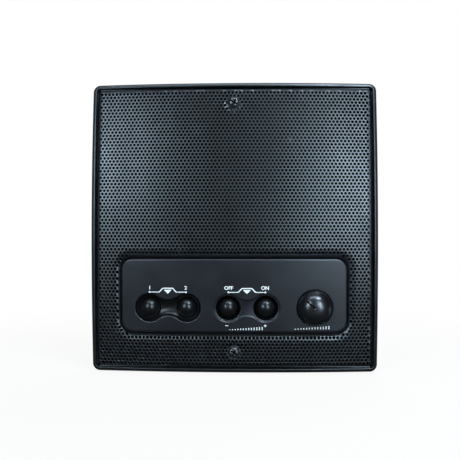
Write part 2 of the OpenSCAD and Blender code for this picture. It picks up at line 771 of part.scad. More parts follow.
// Paper cone: a flat lip at its edge, a curved flare and a neck round the coil
cone_edge = 1.6;
cone_lip = 2;
cap_r = coil_r + 6;
neck_r = coil_r + 0.05;
flare_turn = 65;
function flare(t) = [cone_r - cone_lip - (cone_r - cone_lip - neck_r) * t,
                     cone_edge + (neck_depth - cone_edge) * sin(flare_turn * t) / sin(flare_turn)];
module speaker_cone() color(paper_grey) {
    front = [for (k = [0:8]) flare(k / 8)];
    turned(0, speaker_z, flange_front) polygon(concat(
        [[cone_r, cone_edge], [cone_r - cone_lip, cone_edge]],
        [for (p = front) if (p[0] < cone_r - cone_lip) p],
        [[neck_r, neck_depth + 1.5], [neck_r + cone_t, neck_depth + 1.5]],
        [for (k = [8:-1:1]) flare(k / 8) + [cone_t * 0.5, cone_t]],
        [[cone_r - cone_lip, cone_edge + cone_t], [cone_r, cone_edge + cone_t]]));
}

module dust_cap() color(paper_grey) {
    cap_h = 5;
    cap_ball = (cap_r * cap_r + cap_h * cap_h) / (2 * cap_h);
    seat = min([for (k = [0:40]) let (p = flare(k / 40)) if (p[0] < cap_r + 0.6) p[1]]) - 0.2;
    translate([0, flange_front + seat, speaker_z]) rotate([90, 0, 0]) difference() {
        translate([0, 0, cap_h - cap_ball]) sphere(r = cap_ball, $fn = 96);
        translate([0, 0, cap_h - cap_ball]) sphere(r = cap_ball - 0.6, $fn = 96);
        translate([0, 0, -cap_ball * 2]) cylinder(r = cap_ball * 2, h = cap_ball * 2);
    }
}

// Two pleats between the cone and the flange, with a flat ring under the gasket's inner edge
module cone_surround() color([0.11, 0.11, 0.11]) {
    pleat_step = 2 * pleat_r - surround_t;
    seat_r = cone_r + surround_w;
    top = -surround_t - glue_gap;
    turned(0, speaker_z, flange_front) {
        for (k = [0, 1]) translate([cone_r + pleat_r + k * pleat_step, -glue_gap]) difference() {
            circle(pleat_r, $fn = 48);
            circle(pleat_r - surround_t, $fn = 48);
            translate([-2 * pleat_r, 0]) square(4 * pleat_r);
        }
        translate([seat_r - surround_t, top])
            square([gasket_r - 4 * glue_gap - seat_r + surround_t, surround_t]);
        translate([cone_r - cone_lip, top]) square([cone_lip + surround_t, surround_t]);
        translate([cone_r - cone_lip, top]) square([surround_t, cone_edge - top - glue_gap]);
    }
}

// Corrugated spider between the coil and the basket's shelf
module cone_spider() color([0.55, 0.42, 0.18]) {
    spider_t = 0.5;
    waves = 4;
    steps = 48;
    wave_h = 0.8;
    foot_w = 1.5;
    inner = coil_r + glue_gap;
    base = shelf_depth - spider_t - glue_gap - wave_h;
    span = shelf_r - foot_w - 2 * wave_h - inner;
    line = [for (k = [0:steps])
        [inner + wave_h + span * k / steps, base + wave_h * sin(360 * waves * k / steps)]];
    foot = [[shelf_r - foot_w, base + wave_h], [shelf_r, base + wave_h]];
    front = concat([[inner, base]], line, foot);
    turned(0, speaker_z, flange_front)
        polygon(concat(front, [for (k = [len(front) - 1:-1:0]) front[k] + [0, spider_t]]));
}

front_frame();
speaker_grille();
wall_screws();
control_panel();
panel_screws();
listen_button();
talk_button();
volume_down_button();
volume_up_button();
listen_plunger();
talk_plunger();
volume_down_plunger();
volume_up_plunger();
switch_bodies();
volume_knob();
potentiometer_shaft();
potentiometer_body();
circuit_board();
board_screws();
terminal_block();
terminal_screws();
capacitors();
control_chip();
speaker_gasket();
speaker_basket();
speaker_screws();
speaker_terminals();
top_plate();
magnet();
back_plate();
voice_coil();
speaker_cone();
dust_cap();
cone_surround();
cone_spider();
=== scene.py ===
"""Looks of a wall intercom room station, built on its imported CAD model.

Every piece is worked out in millimetres in the model's own frame: the front faces -Y and +Z is up.
"""

import math

import bmesh
import bpy
import numpy as np
from bpy.props import FloatProperty, FloatVectorProperty, PointerProperty
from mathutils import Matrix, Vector, geometry


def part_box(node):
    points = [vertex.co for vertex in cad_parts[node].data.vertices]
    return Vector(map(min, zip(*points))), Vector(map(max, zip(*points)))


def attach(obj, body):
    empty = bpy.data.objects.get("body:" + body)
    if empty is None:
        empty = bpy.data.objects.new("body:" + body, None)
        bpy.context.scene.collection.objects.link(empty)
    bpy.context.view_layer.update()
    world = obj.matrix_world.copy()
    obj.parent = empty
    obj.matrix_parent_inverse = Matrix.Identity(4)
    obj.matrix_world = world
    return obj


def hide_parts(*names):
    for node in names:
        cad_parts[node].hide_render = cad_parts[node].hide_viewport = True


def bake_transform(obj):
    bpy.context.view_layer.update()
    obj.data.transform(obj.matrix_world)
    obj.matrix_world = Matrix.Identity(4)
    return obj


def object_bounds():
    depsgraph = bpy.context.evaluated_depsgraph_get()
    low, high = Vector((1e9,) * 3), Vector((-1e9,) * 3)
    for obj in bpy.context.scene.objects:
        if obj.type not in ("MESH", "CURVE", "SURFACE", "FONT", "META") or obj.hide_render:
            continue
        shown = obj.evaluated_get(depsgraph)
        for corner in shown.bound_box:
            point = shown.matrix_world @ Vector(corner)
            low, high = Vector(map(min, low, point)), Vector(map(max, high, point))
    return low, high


bl_info = {
    "name": "Intercom room station",
    "version": (1, 0, 0),
    "blender": (4, 5, 0),
    "location": "3D View > Sidebar > Station",
    "description": "Builds the looks of a wall intercom station on its CAD model",
    "category": "Mesh",
}

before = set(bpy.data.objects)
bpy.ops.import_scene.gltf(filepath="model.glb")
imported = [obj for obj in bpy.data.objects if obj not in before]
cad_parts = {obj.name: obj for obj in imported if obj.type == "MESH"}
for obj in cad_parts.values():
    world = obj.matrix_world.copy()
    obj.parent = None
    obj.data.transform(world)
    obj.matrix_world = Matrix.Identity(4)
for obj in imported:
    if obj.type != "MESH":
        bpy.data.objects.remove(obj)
CAD_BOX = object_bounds()
MM = 0.001
WHITE = (1, 1, 1, 1)
KEYS = ("listen", "talk", "volume_down", "volume_up")

# What the boxes of the CAD nodes don't give, in millimetres
DOME_FRONT = -24.0  # depth of the dome's middle
BAFFLE_FRONT, BAFFLE_REAR = -10.0, -7.5
OPENING_R = 51.5  # loudspeaker opening of the baffle
GRILLE_SINK = 0.5  # how far the grille lies behind the dome
GRILLE_CORNER = 2.0
DIMPLE = 0.4  # depth of the grille's seats under the wall screws
SEAT_GAP = 0.15  # before and behind the grille at those seats
PANEL_PROUD = 0.8  # how far the control panel stands before the dome
PANEL_GAP = 0.6  # between the control panel and the grille
SCREW_BORE = 2.35  # radius of the holes for the wall screws
SCREW_INSET = 2.7  # from the sides of a group of small screws to their axes
KEY_STROKE = 1.5
CONE_PAPER = 0.8  # thickness of the cone


def node_box(name):
    """Lowest and highest corner of a CAD node, in millimetres."""
    low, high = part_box(name)
    return np.array(low) / MM, np.array(high) / MM


def node_middle(name):
    """Middle of a CAD node, in millimetres."""
    low, high = node_box(name)
    return (low + high) / 2


def node_span(name):
    """Width, depth and height of a CAD node."""
    low, high = node_box(name)
    return high - low


def node_radius(name):
    """Outer radius of a round CAD node."""
    return node_span(name)[0] / 2


def screw_places(name):
    """X and Z of the axes of a CAD node's four screws."""
    low, high = node_box(name)
    return [(x, z) for x in (low[0] + SCREW_INSET, high[0] - SCREW_INSET)
            for z in (low[2] + SCREW_INSET, high[2] - SCREW_INSET)]


def length(name, description, default):
    """A size that the pieces read, kept on the scene."""
    return FloatProperty(name=name, description=description, default=default, min=0, unit="LENGTH")


def colour(name, description, default):
    """A colour that the finishes read, kept on the scene."""
    return FloatVectorProperty(
        name=name, description=description, default=default, subtype="COLOR", size=4, min=0, max=1)


class StationSizes(bpy.types.PropertyGroup):
    """Sizes that the pieces share"""

    dome_radius: length("Dome radius", "Radius that the whole front follows", 0.85)
    hole_pitch: length("Hole pitch", "Distance between the holes of a row of the grille", 0.002603)
    row_pitch: length("Row pitch", "Distance between the rows of holes", 0.002238)
    hole_diameter: length("Hole diameter", "Diameter of the holes of the grille", 0.00225)
    hole_right: length("Pattern right", "How far right of the middle a hole sits", 0.00047)
    hole_up: length("Pattern up", "How far above the middle a row sits", 0.00064)
    sheet: length("Sheet", "Thickness of the grille", 0.001)
    roll_width: length("Rolled edge", "Width of the grille's rolled edge", 0.0013)
    roll_drop: length("Roll drop", "How far the rolled edge turns back", 0.0012)
    dip_depth: length("Lip depth", "Depth of the grille's rolled lip round the panel", 0.0036)
    dip_width: length("Lip width", "Width of the grille's rolled lip round the panel", 0.0062)
    wall: length("Frame wall", "Thickness of the frame's rim", 0.003)
    corner: length("Frame corner", "Corner radius of the frame", 0.0052)
    panel_corner: length("Panel corner", "Corner radius of the control panel", 0.0075)
    panel_round: length("Panel rounding", "Rounding of the control panel's front edge", 0.0012)
    ball: length("Ball", "Radius of each ball button", 0.0069)
    lobe: length("Lobe", "Radius of the lobes of the button recesses", 0.0096)
    waist: length("Waist", "Height of the waist of the button recesses", 0.0107)
    round_well: length("Round well", "Radius of the round wells", 0.0083)
    well_depth: length("Well depth", "Depth of the wells", 0.005)
    step_depth: length("Step", "Depth of the flush step round the right pair", 0.0006)
    groove: length("Pointer groove", "Width of the knob's pointer groove", 0.0012)
    ink: length("Ink", "Thickness of the printed marks", 0.00004)


class StationColours(bpy.types.PropertyGroup):
    """Colours of the finishes"""

    rim: colour("Rim", "Moulded rim", (0.006, 0.0065, 0.007, 1))
    grille: colour("Grille", "Painted grille", (0.0025, 0.003, 0.0034, 1))
    panel: colour("Panel", "Control panel", (0.0076, 0.0074, 0.0100, 1))
    ball: colour("Buttons", "Ball buttons", (0.0045, 0.0045, 0.005, 1))
    knob: colour("Knob", "Volume knob", (0.005, 0.005, 0.0055, 1))
    screw: colour("Screws", "Wall screws", (0.014, 0.014, 0.014, 1))
    sheen: colour("Sheen", "Cool sheen of the black finishes", (0.76, 0.87, 1.0, 1))
    ink: colour("Ink", "Printed marks", (0.74, 0.82, 0.85, 1))
    steel: colour("Steel", "Plated steel", (0.55, 0.55, 0.54, 1))
    zinc: colour("Zinc", "Zinc-plated sheet", (0.48, 0.49, 0.50, 1))
    board: colour("Board", "Circuit board", (0.02, 0.10, 0.045, 1))
    paper: colour("Paper", "Loudspeaker cone", (0.006, 0.006, 0.006, 1))


# Outlines in X and Z

def circle_loop(x, z, r, count):
    """Points of a circle."""
    a = np.linspace(0, 2 * math.pi, count, endpoint=False)
    return np.column_stack([x + r * np.cos(a), z + r * np.sin(a)])


def rounded_loop(x, z, w, h, r, corner_steps, side_steps):
    """Points of a rounded rectangle, as many whatever its size."""
    points = []
    for k, (sx, sz) in enumerate(((1, 1), (-1, 1), (-1, -1), (1, -1))):
        a = np.radians(90 * k + np.linspace(0, 90, corner_steps + 1))
        points.append(np.column_stack([x + sx * (w / 2 - r) + r * np.cos(a),
                                       z + sz * (h / 2 - r) + r * np.sin(a)]))
    loop = []
    for k in range(4):
        loop.extend(points[k])
        start, end = points[k][-1], points[(k + 1) % 4][0]
        loop.extend(start + (end - start) * s / side_steps for s in range(1, side_steps))
    return np.array(loop)


def dumbbell_arcs(pitch, r, waist):
    """Radius and height of the arcs that join a dumbbell's two lobes."""
    half = pitch / 2
    arc = (half * half + waist * waist / 4 - r * r) / (2 * r - waist)
    return half, arc, waist / 2 + arc


def dumbbell_loop(x, z, pitch, r, waist, grow=0.0, lobe_steps=56, waist_steps=14):
    """Points of a dumbbell, grown by some distance."""
    half, arc, rise = dumbbell_arcs(pitch, r, waist)
    turn = math.atan2(rise, -half)
    pad = (2 * turn - math.pi) / waist_steps / 2
    parts = (
        (half, 0, r + grow, np.linspace(-turn, turn, lobe_steps + 1)),
        (0, rise, arc - grow, np.linspace(turn - math.pi - pad, pad - turn, waist_steps)),
        (-half, 0, r + grow, np.linspace(math.pi - turn, math.pi + turn, lobe_steps + 1)),
        (0, -rise, arc - grow, np.linspace(turn - pad, math.pi - turn + pad, waist_steps)),
    )
    return np.vstack([np.column_stack([x + cx + q * np.cos(a), z + cz + q * np.sin(a)])
                      for cx, cz, q, a in parts])


def dumbbell_distance(x, z, pitch, r, waist):
    """Signed distance to a dumbbell at the origin, negative inside."""
    half, arc, rise = dumbbell_arcs(pitch, r, waist)
    u, v = np.abs(x), np.abs(z)
    return np.where(u / half + v / rise < 1, arc - np.hypot(u, v - rise), np.hypot(u - half, v) - r)


def rounded_distance(x, z, w, h, r):
    """Signed distance to a rounded rectangle at the origin, negative inside."""
    qx, qz = np.abs(x) - (w / 2 - r), np.abs(z) - (h / 2 - r)
    return np.hypot(np.maximum(qx, 0), np.maximum(qz, 0)) + np.minimum(np.maximum(qx, qz), 0) - r


def smooth(t):
    """Smooth step from 0 to 1."""
    t = np.clip(t, 0, 1)
    return t * t * (3 - 2 * t)


def quarter(t, share=1.0):
    """Drop along the first share of a quarter circle, t from 0 to 1."""
    return 1 - np.sqrt(np.maximum(1 - share * t * t, 0))


def lifted(loop, y):
    """A flat loop as points in space, at one depth or at a depth for each point."""
    return np.column_stack([loop[:, 0], np.broadcast_to(y, len(loop)), loop[:, 1]])


def laid(loop, depth):
    """A flat loop as points in space, laid on a surface."""
    return lifted(loop, depth(loop[:, 0], loop[:, 1]))


def level(y):
    """The surface at one depth."""
    return lambda x, z: np.full(len(x), y)


# Meshes

class Shape:
    """Points and faces of one piece while it is put together, in millimetres."""

    def __init__(self):
        self.points, self.faces, self.count = [], [], 0

    def add(self, points, faces):
        """Adds points and the faces between them."""
        self.points.append(np.asarray(points, float))
        self.faces.extend(tuple(int(i) + self.count for i in f) for f in faces)
        self.count += len(points)

    def strips(self, rings, closed=False):
        """Joins rings of equally many points, one after the other."""
        n, m = len(rings[0]), len(rings)
        faces = []
        for k in range(m if closed else m - 1):
            a, b = k * n, (k + 1) % m * n
            faces.extend((a + i, a + (i + 1) % n, b + (i + 1) % n, b + i) for i in range(n))
        self.add(np.vstack(rings), faces)

    def lathe(self, x, z, profile, count=48):
        """Turns a profile of radius and depth about an axis along Y."""
        rings, tips = [], []
        for r, y in profile:
            if r > 1e-6:
                rings.append(lifted(circle_loop(x, z, r, count), y))
            else:
                tips.append((len(rings), y))
        self.strips(rings)
        for place, y in tips:
            ring = rings[0] if place == 0 else rings[-1]
            self.cap(ring, (x, y, z))

    def cap(self, ring, tip):
        """Closes a ring with triangles to a point."""
        n = len(ring)
        self.add(np.vstack([ring, [tip]]), [(i, (i + 1) % n, n) for i in range(n)])

    def piece(self, name, finish_name, body, slot, crease=32.0, other=None, where=None):
        """The finished object, riding on its body if one is named, with another finish where a test says so."""
        mesh = bpy.data.meshes.new(name)
        mesh.from_pydata((np.vstack(self.points) * MM).tolist(), [], self.faces)
        work = bmesh.new()
        work.from_mesh(mesh)
        bmesh.ops.remove_doubles(work, verts=work.verts, dist=2e-6)
        bmesh.ops.recalc_face_normals(work, faces=work.faces)
        work.to_mesh(mesh)
        work.free()
        mesh.shade_smooth()
        mesh.set_sharp_from_angle(angle=math.radians(crease))
        mesh.materials.append(Finishes.get(finish_name))
        if other:
            mesh.materials.append(Finishes.get(other))
            middles = np.empty(3 * len(mesh.polygons))
            mesh.polygons.foreach_get("center", middles)
            picked = where(*(middles.reshape(-1, 3).T / MM))
            mesh.polygons.foreach_set("material_index", picked.astype(np.int32))
        piece = bpy.data.objects.new(name, mesh)
        bpy.context.scene.collection.objects.link(piece)
        if body:
            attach(piece, body)
        return piece


def fill(loops, extra, keep, depth, edges=()):
    """Points and triangles of a sheet that has the loops among its edges, at a depth for each place."""
    points, bonds = [], []
    for loop in loops:
        start, n = len(points), len(loop)
        points.extend(loop)
        bonds.extend((start + i, start + (i + 1) % n) for i in range(n))
    start = len(points)
    points.extend(extra)
    bonds.extend((start + a, start + b) for a, b in edges)
    flat, _, triangles, *_ = geometry.delaunay_2d_cdt([Vector(p) for p in points], bonds, [], 0, 1e-5)
    flat, triangles = np.array([tuple(p) for p in flat]), np.array(triangles)
    middle = flat[triangles].mean(axis=1)
    triangles = triangles[keep(middle[:, 0], middle[:, 1])]
    return laid(flat, depth), triangles


def inside_loops(loops):
    """A test of whether places lie inside an odd number of loops."""
    def test(x, z):
        odd = np.zeros(len(x), bool)
        for loop in loops:
            a, b = loop, np.roll(loop, -1, axis=0)
            for (ax, az), (bx, bz) in zip(a, b):
                if az != bz:
                    odd ^= ((az > z) != (bz > z)) & (x < (bx - ax) * (z - az) / (bz - az) + ax)
        return odd
    return test


# Shared effects of the finishes

def add(tree, kind, settings=None, values=(), **inputs):
    """A node with its settings, and with inputs, by number or name, that are set or linked."""
    node = tree.nodes.new(kind)
    for key, value in (settings or {}).items():
        setattr(node, key, value)
    numbered = values if isinstance(values, dict) else dict(enumerate(values))
    for key, value in {**numbered, **inputs}.items():
        if isinstance(value, bpy.types.NodeSocket):
            tree.links.new(value, node.inputs[key])
        else:
            node.inputs[key].default_value = value
    return node


def maths(tree, operation, *values):
    """Result of a Math node."""
    return add(tree, "ShaderNodeMath", {"operation": operation}, values).outputs[0]


def mixed(tree, factor, a, b, blend="MIX"):
    """Result of a colour mix."""
    settings = {"data_type": "RGBA", "blend_type": blend}
    return add(tree, "ShaderNodeMix", settings, {0: factor, 6: a, 7: b}).outputs[2]


def noise(tree, place, scale, detail):
    """Result of a noise texture."""
    return add(tree, "ShaderNodeTexNoise", Vector=place, Scale=scale, Detail=detail).outputs[0]


def ranged(tree, value, *limits):
    """A value mapped from one range to another."""
    return add(tree, "ShaderNodeMapRange", values=(value,) + limits).outputs[0]


def seen_rays(tree):
    """1 for the rays that show a surface to the camera, to gloss and to glass."""
    path = add(tree, "ShaderNodeLightPath").outputs
    return maths(tree, "MAXIMUM", path["Is Camera Ray"],
                 maths(tree, "MAXIMUM", path["Is Glossy Ray"], path["Is Transmission Ray"]))


def socket_kind(label):
    """Kind of a group's socket, by its name."""
    return {"Vector": "NodeSocketVector", "Colour": "NodeSocketColor",
            "Worn": "NodeSocketColor"}.get(label, "NodeSocketFloat")


def effect(name, output, build, **inputs):
    """A shader node group that several finishes use, with one output."""
    if name in bpy.data.node_groups:
        return bpy.data.node_groups[name]
    tree = bpy.data.node_groups.new(name, "ShaderNodeTree")
    for label, default in inputs.items():
        socket = tree.interface.new_socket(label, in_out="INPUT", socket_type=socket_kind(label))
        if default is not None:
            socket.default_value = default
    tree.interface.new_socket(output, in_out="OUTPUT", socket_type=socket_kind(output))
    source, sink = tree.nodes.new("NodeGroupInput"), tree.nodes.new("NodeGroupOutput")
    tree.links.new(build(tree, source.outputs), sink.inputs[output])
    return tree


def moulded_grain():
    """Fine grain of a moulded or painted surface."""
    def build(tree, given):
        coarse = noise(tree, given["Vector"], given["Scale"], 2.0)
        fine = noise(tree, given["Vector"], maths(tree, "MULTIPLY", given["Scale"], 2.7), 3.0)
        return maths(tree, "ADD", maths(tree, "MULTIPLY", coarse, 0.6), maths(tree, "MULTIPLY", fine, 0.4))
    return effect("moulded_grain", "Height", build, Vector=None, Scale=900.0)


def tone_drift():
    """Slow drift of a colour over a surface."""
    def build(tree, given):
        span = ranged(tree, noise(tree, given["Vector"], given["Scale"], 4.0), 0.3, 0.7, 0.0, 1.0)
        dark = mixed(tree, 1.0, given["Colour"], (0.72, 0.72, 0.73, 1), "MULTIPLY")
        drift = mixed(tree, span, dark, given["Colour"])
        return mixed(tree, given["Amount"], given["Colour"], drift)
    return effect("tone_drift", "Colour", build, Colour=None, Vector=None, Scale=40.0, Amount=0.5)


def worn_edges():
    """Lighter colour where edges are rubbed."""
    def build(tree, given):
        edge = ranged(tree, add(tree, "ShaderNodeNewGeometry").outputs["Pointiness"], 0.52, 0.62, 0.0, 1.0)
        broken = ranged(tree, noise(tree, given["Vector"], 160.0, 5.0), 0.4, 0.65, 0.0, 1.0)
        mask = maths(tree, "MULTIPLY", maths(tree, "MULTIPLY", edge, broken), given["Amount"])
        return mixed(tree, mask, given["Colour"], given["Worn"])
    return effect("worn_edges", "Colour", build, Colour=None, Worn=None, Vector=None, Amount=0.3)


def settled_dust():
    """A little dust on what faces up."""
    def build(tree, given):
        normal = add(tree, "ShaderNodeNewGeometry").outputs["Normal"]
        up = add(tree, "ShaderNodeSeparateXYZ", values=(normal,)).outputs[2]
        facing = ranged(tree, up, 0.35, 1.0, 0.0, 1.0)
        specks = ranged(tree, noise(tree, given["Vector"], 220.0, 6.0), 0.42, 0.75, 0.0, 1.0)
        mask = maths(tree, "MULTIPLY", maths(tree, "MULTIPLY", facing, specks), given["Amount"])
        return mixed(tree, mask, given["Colour"], (0.30, 0.29, 0.27, 1))
    return effect("settled_dust", "Colour", build, Colour=None, Vector=None, Amount=0.1)


def uneven_gloss():
    """Roughness that changes a little from place to place."""
    def build(tree, given):
        span = ranged(tree, noise(tree, given["Vector"], given["Scale"], 5.0), 0.3, 0.7, -0.5, 0.5)
        return maths(tree, "ADD", given["Roughness"], maths(tree, "MULTIPLY", span, given["Spread"]))
    return effect("uneven_gloss", "Roughness", build, Vector=None, Roughness=0.4, Spread=0.1, Scale=60.0)


def drawn_lines():
    """Fine lines of rolled, drawn or turned metal."""
    def build(tree, given):
        stretch = add(tree, "ShaderNodeVectorMath", {"operation": "MULTIPLY"},
                      (given["Vector"], (1.0, 1.0, 0.04))).outputs[0]
        return noise(tree, stretch, given["Scale"], 3.0)
    return effect("drawn_lines", "Height", build, Vector=None, Scale=1500.0)


def cloth_weave():
    """Crossed threads of a woven cloth."""
    def build(tree, given):
        waves = [add(tree, "ShaderNodeTexWave", {"wave_type": "BANDS", "bands_direction": axis},
                     Vector=given["Vector"], Scale=given["Scale"], Distortion=0.6, Detail=1.0).outputs["Fac"]
                 for axis in ("X", "Z")]
        return maths(tree, "MAXIMUM", *waves)
    return effect("cloth_weave", "Height", build, Vector=None, Scale=400.0)


def grouped(tree, group, **inputs):
    """A group node in a finish."""
    return add(tree, "ShaderNodeGroup", {"node_tree": group}, **inputs).outputs


def finish(name, base, roughness, metallic=0.0, specular=0.5, grain=900.0, bump=0.00002, spread=0.12,
           drift=0.5, drift_scale=40.0, worn=None, wear=0.0, dust=0.0, texture=moulded_grain, coat=0.0,
           ior=1.5, sheen=WHITE):
    """A procedural material out of the shared effects."""
    material = bpy.data.materials.new(name)
    material.use_nodes = True
    tree = material.node_tree
    shader = tree.nodes["Principled BSDF"]
    place = add(tree, "ShaderNodeTexCoord").outputs["Object"]
    tone = grouped(tree, tone_drift(), Vector=place, Colour=base, Scale=drift_scale, Amount=drift)["Colour"]
    if wear:
        tone = grouped(tree, worn_edges(), Vector=place, Colour=tone, Worn=worn, Amount=wear)["Colour"]
    if dust:
        tone = grouped(tree, settled_dust(), Vector=place, Colour=tone, Amount=dust)["Colour"]
    gloss = grouped(tree, uneven_gloss(), Vector=place, Roughness=roughness, Spread=spread)["Roughness"]
    height = grouped(tree, texture(), Vector=place, Scale=grain)["Height"]
    relief = add(tree, "ShaderNodeBump", Height=height, Strength=1.0, Distance=bump)
    for socket, value in (("Base Color", tone), ("Roughness", gloss), ("Normal", relief.outputs[0])):
        tree.links.new(value, shader.inputs[socket])
    for socket, value in (("Metallic", metallic), ("Specular IOR Level", specular), ("Specular Tint", sheen),
                          ("IOR", ior), ("Coat Weight", coat)):
        shader.inputs[socket].default_value = value
    return material


class Finishes:
    """The station's materials, each made when it is first asked for."""

    made = {}

    @classmethod
    def get(cls, name):
        """A material by its name."""
        if name not in cls.made:
            cls.made[name] = cls.make(name)
        return cls.made[name]

    @classmethod
    def make(cls, name):
        """Builds one of the finishes."""
        c = bpy.context.scene.station_colours
        cool = c.sheen
        plain = {
            "rim_plastic": dict(base=c.rim, roughness=0.34, ior=1.9, sheen=cool, grain=1400, bump=0.00001,
                                worn=(0.05, 0.05, 0.05, 1), wear=0.25, dust=0.04),
            # Near-black matte: the baffle's plastic, kept darker than the rim as painted shade behind the grille;
            # also painted shade in the screws' recesses and the knob's groove.
            "baffle_and_painted_shade": dict(base=(0.002, 0.002, 0.002, 1), roughness=0.75, specular=0.15, bump=0.00004),
            "grille_paint": dict(base=c.grille, roughness=0.36, specular=1.0, ior=1.95, sheen=cool, grain=2600,
                                 bump=0.000004, spread=0.08, drift_scale=25.0, dust=0.02),
            "panel_plastic": dict(base=c.panel, roughness=0.34, ior=1.7, sheen=cool, grain=3200, spread=0.08,
                                  drift=0.35, worn=(0.07, 0.075, 0.08, 1), wear=0.25, dust=0.02),
            "ball_plastic": dict(base=c.ball, roughness=0.30, ior=1.6, sheen=cool, grain=2200, bump=0.000003,
                                 spread=0.06),
            "knob_plastic": dict(base=c.knob, roughness=0.29, ior=1.85, sheen=cool, grain=2200, bump=0.000003,
                                 spread=0.06),
            # Darker than the panel plastic: painted shade of the deep wells, on a slightly smoother finish.
            "well_plastic_painted_shade": dict(base=c.ball, roughness=0.32, ior=1.6, sheen=cool, grain=2200, bump=0.000006),
            "screw_oxide": dict(base=c.screw, roughness=0.26, ior=2.0, sheen=cool, grain=2400, bump=0.000006,
                                worn=(0.10, 0.10, 0.10, 1), wear=0.3),
            "printed_ink": dict(base=c.ink, roughness=0.55, grain=3000, bump=0.000004, drift=0.25,
                                drift_scale=300.0),
            "zinc_plate": dict(base=c.zinc, roughness=0.38, metallic=1.0, bump=0.000008, spread=0.2,
                               drift_scale=90.0, texture=drawn_lines),
            "bright_steel": dict(base=c.steel, roughness=0.30, metallic=1.0, grain=1600, bump=0.000006,
                                 texture=drawn_lines),
            "switch_plastic": dict(base=(0.02, 0.02, 0.022, 1), roughness=0.45, grain=1200),
            "plunger_plastic": dict(base=(0.62, 0.58, 0.48, 1), roughness=0.40, grain=1200),
            "board_laminate": dict(base=c.board, roughness=0.32, grain=700, bump=0.00001, drift=0.8,
                                   drift_scale=130.0, coat=0.3, texture=cloth_weave),
            "terminal_plastic": dict(base=(0.015, 0.13, 0.06, 1), roughness=0.42, grain=1500),
            "capacitor_sleeve": dict(base=(0.012, 0.022, 0.075, 1), roughness=0.28),
            "chip_epoxy": dict(base=(0.014, 0.014, 0.014, 1), roughness=0.58, grain=2600),
            "gasket_board": dict(base=(0.014, 0.012, 0.010, 1), roughness=0.85, specular=0.1, grain=500,
                                 bump=0.0001),
            "tag_board": dict(base=(0.28, 0.17, 0.07, 1), roughness=0.55, grain=800, bump=0.00003),
            "ferrite": dict(base=(0.030, 0.030, 0.032, 1), roughness=0.60, grain=700, bump=0.00006, drift=0.8),
            "coil_former": dict(base=(0.35, 0.17, 0.06, 1), roughness=0.35, grain=1800, texture=drawn_lines),
            "cone_paper": dict(base=c.paper, roughness=0.88, specular=0.1, grain=420, bump=0.00012, drift=0.8),
            "surround_cloth": dict(base=(0.005, 0.005, 0.005, 1), roughness=0.80, specular=0.1, grain=650,
                                   bump=0.00008, texture=cloth_weave),
            "spider_cloth": dict(base=(0.38, 0.22, 0.06, 1), roughness=0.80, grain=520, bump=0.0001,
                                 texture=cloth_weave),
        }
        return finish(name, **plain[name])


# The station's own forms

class Front:
    """Where the front's surfaces lie, from the CAD nodes and the sizes."""

    def __init__(self, context):
        s = context.scene.station_sizes
        self.s = s
        self.dome_r = s.dome_radius / MM
        self.frame_w, _, self.frame_h = node_span("front_frame")
        self.grille_w, _, self.grille_h = node_span("speaker_grille")
        self.panel_w, _, self.panel_h = node_span("control_panel")
        self.panel_z = node_middle("control_panel")[2]
        self.screw_head = node_radius("wall_screws")
        self.screw_z = node_span("wall_screws")[2] / 2 - self.screw_head
        self.lean = math.asin(-self.panel_z / self.dome_r)
        self.buttons = [node_middle(n + "_button") for n in KEYS]
        self.pairs = [(self.buttons[0] + self.buttons[1]) / 2, (self.buttons[2] + self.buttons[3]) / 2]
        self.pitch = self.buttons[1][0] - self.buttons[0][0]
        self.row_z = self.buttons[0][2]
        self.knob = node_middle("volume_knob")
        self.knob_front, self.knob_rear = (corner[1] for corner in node_box("volume_knob"))
        self.knob_r = node_radius("volume_knob")

    def dome_y(self, x, z):
        """Depth of the dome."""
        return self.dome_r + DOME_FRONT - np.sqrt(self.dome_r ** 2 - x * x - z * z)

    def panel_y(self, x, z):
        """Depth of the control panel's bent front."""
        r = self.dome_r + PANEL_PROUD
        return (self.dome_r + DOME_FRONT
                - (np.sqrt(r * r - x * x) + z * math.sin(self.lean)) / math.cos(self.lean))

    def panel_distance(self, x, z, grow=0.0):
        """Signed distance to the control panel's outline, grown by some distance."""
        return rounded_distance(x, z - self.panel_z, self.panel_w + 2 * grow, self.panel_h + 2 * grow,
                                self.s.panel_corner / MM + grow)

    def grille_distance(self, x, z):
        """Signed distance to the grille's outline."""
        return rounded_distance(x, z, self.grille_w, self.grille_h, GRILLE_CORNER)

    def dimple_y(self):
        """Depth of the flat seats under the wall screws."""
        return float(self.dome_y(0.0, self.screw_z)) + GRILLE_SINK + DIMPLE

    def grille_y(self, x, z):
        """Depth of the grille's front, with its dip, rolled edge and dimples."""
        s = self.s
        y = self.dome_y(x, z) + GRILLE_SINK
        away = self.panel_distance(x, z)
        q = np.clip(1 - (away - PANEL_GAP) / (s.dip_width / MM), 0, 1)
        share, full = 0.98, 0.86  # how much of a quarter circle the lip takes, and how far that drops
        y = y + s.dip_depth / MM * quarter(q, share) / full
        edge = -self.grille_distance(x, z)
        q = np.clip(1 - edge / (s.roll_width / MM), 0, 1)
        share, full = 0.96, 0.8
        y = y + s.roll_drop / MM * quarter(q, share) / full
        margin, fade = 3.2, 2.4
        seat = smooth((self.screw_head + margin - np.hypot(x, np.abs(z) - self.screw_z)) / fade)
        return y * (1 - seat) + self.dimple_y() * seat


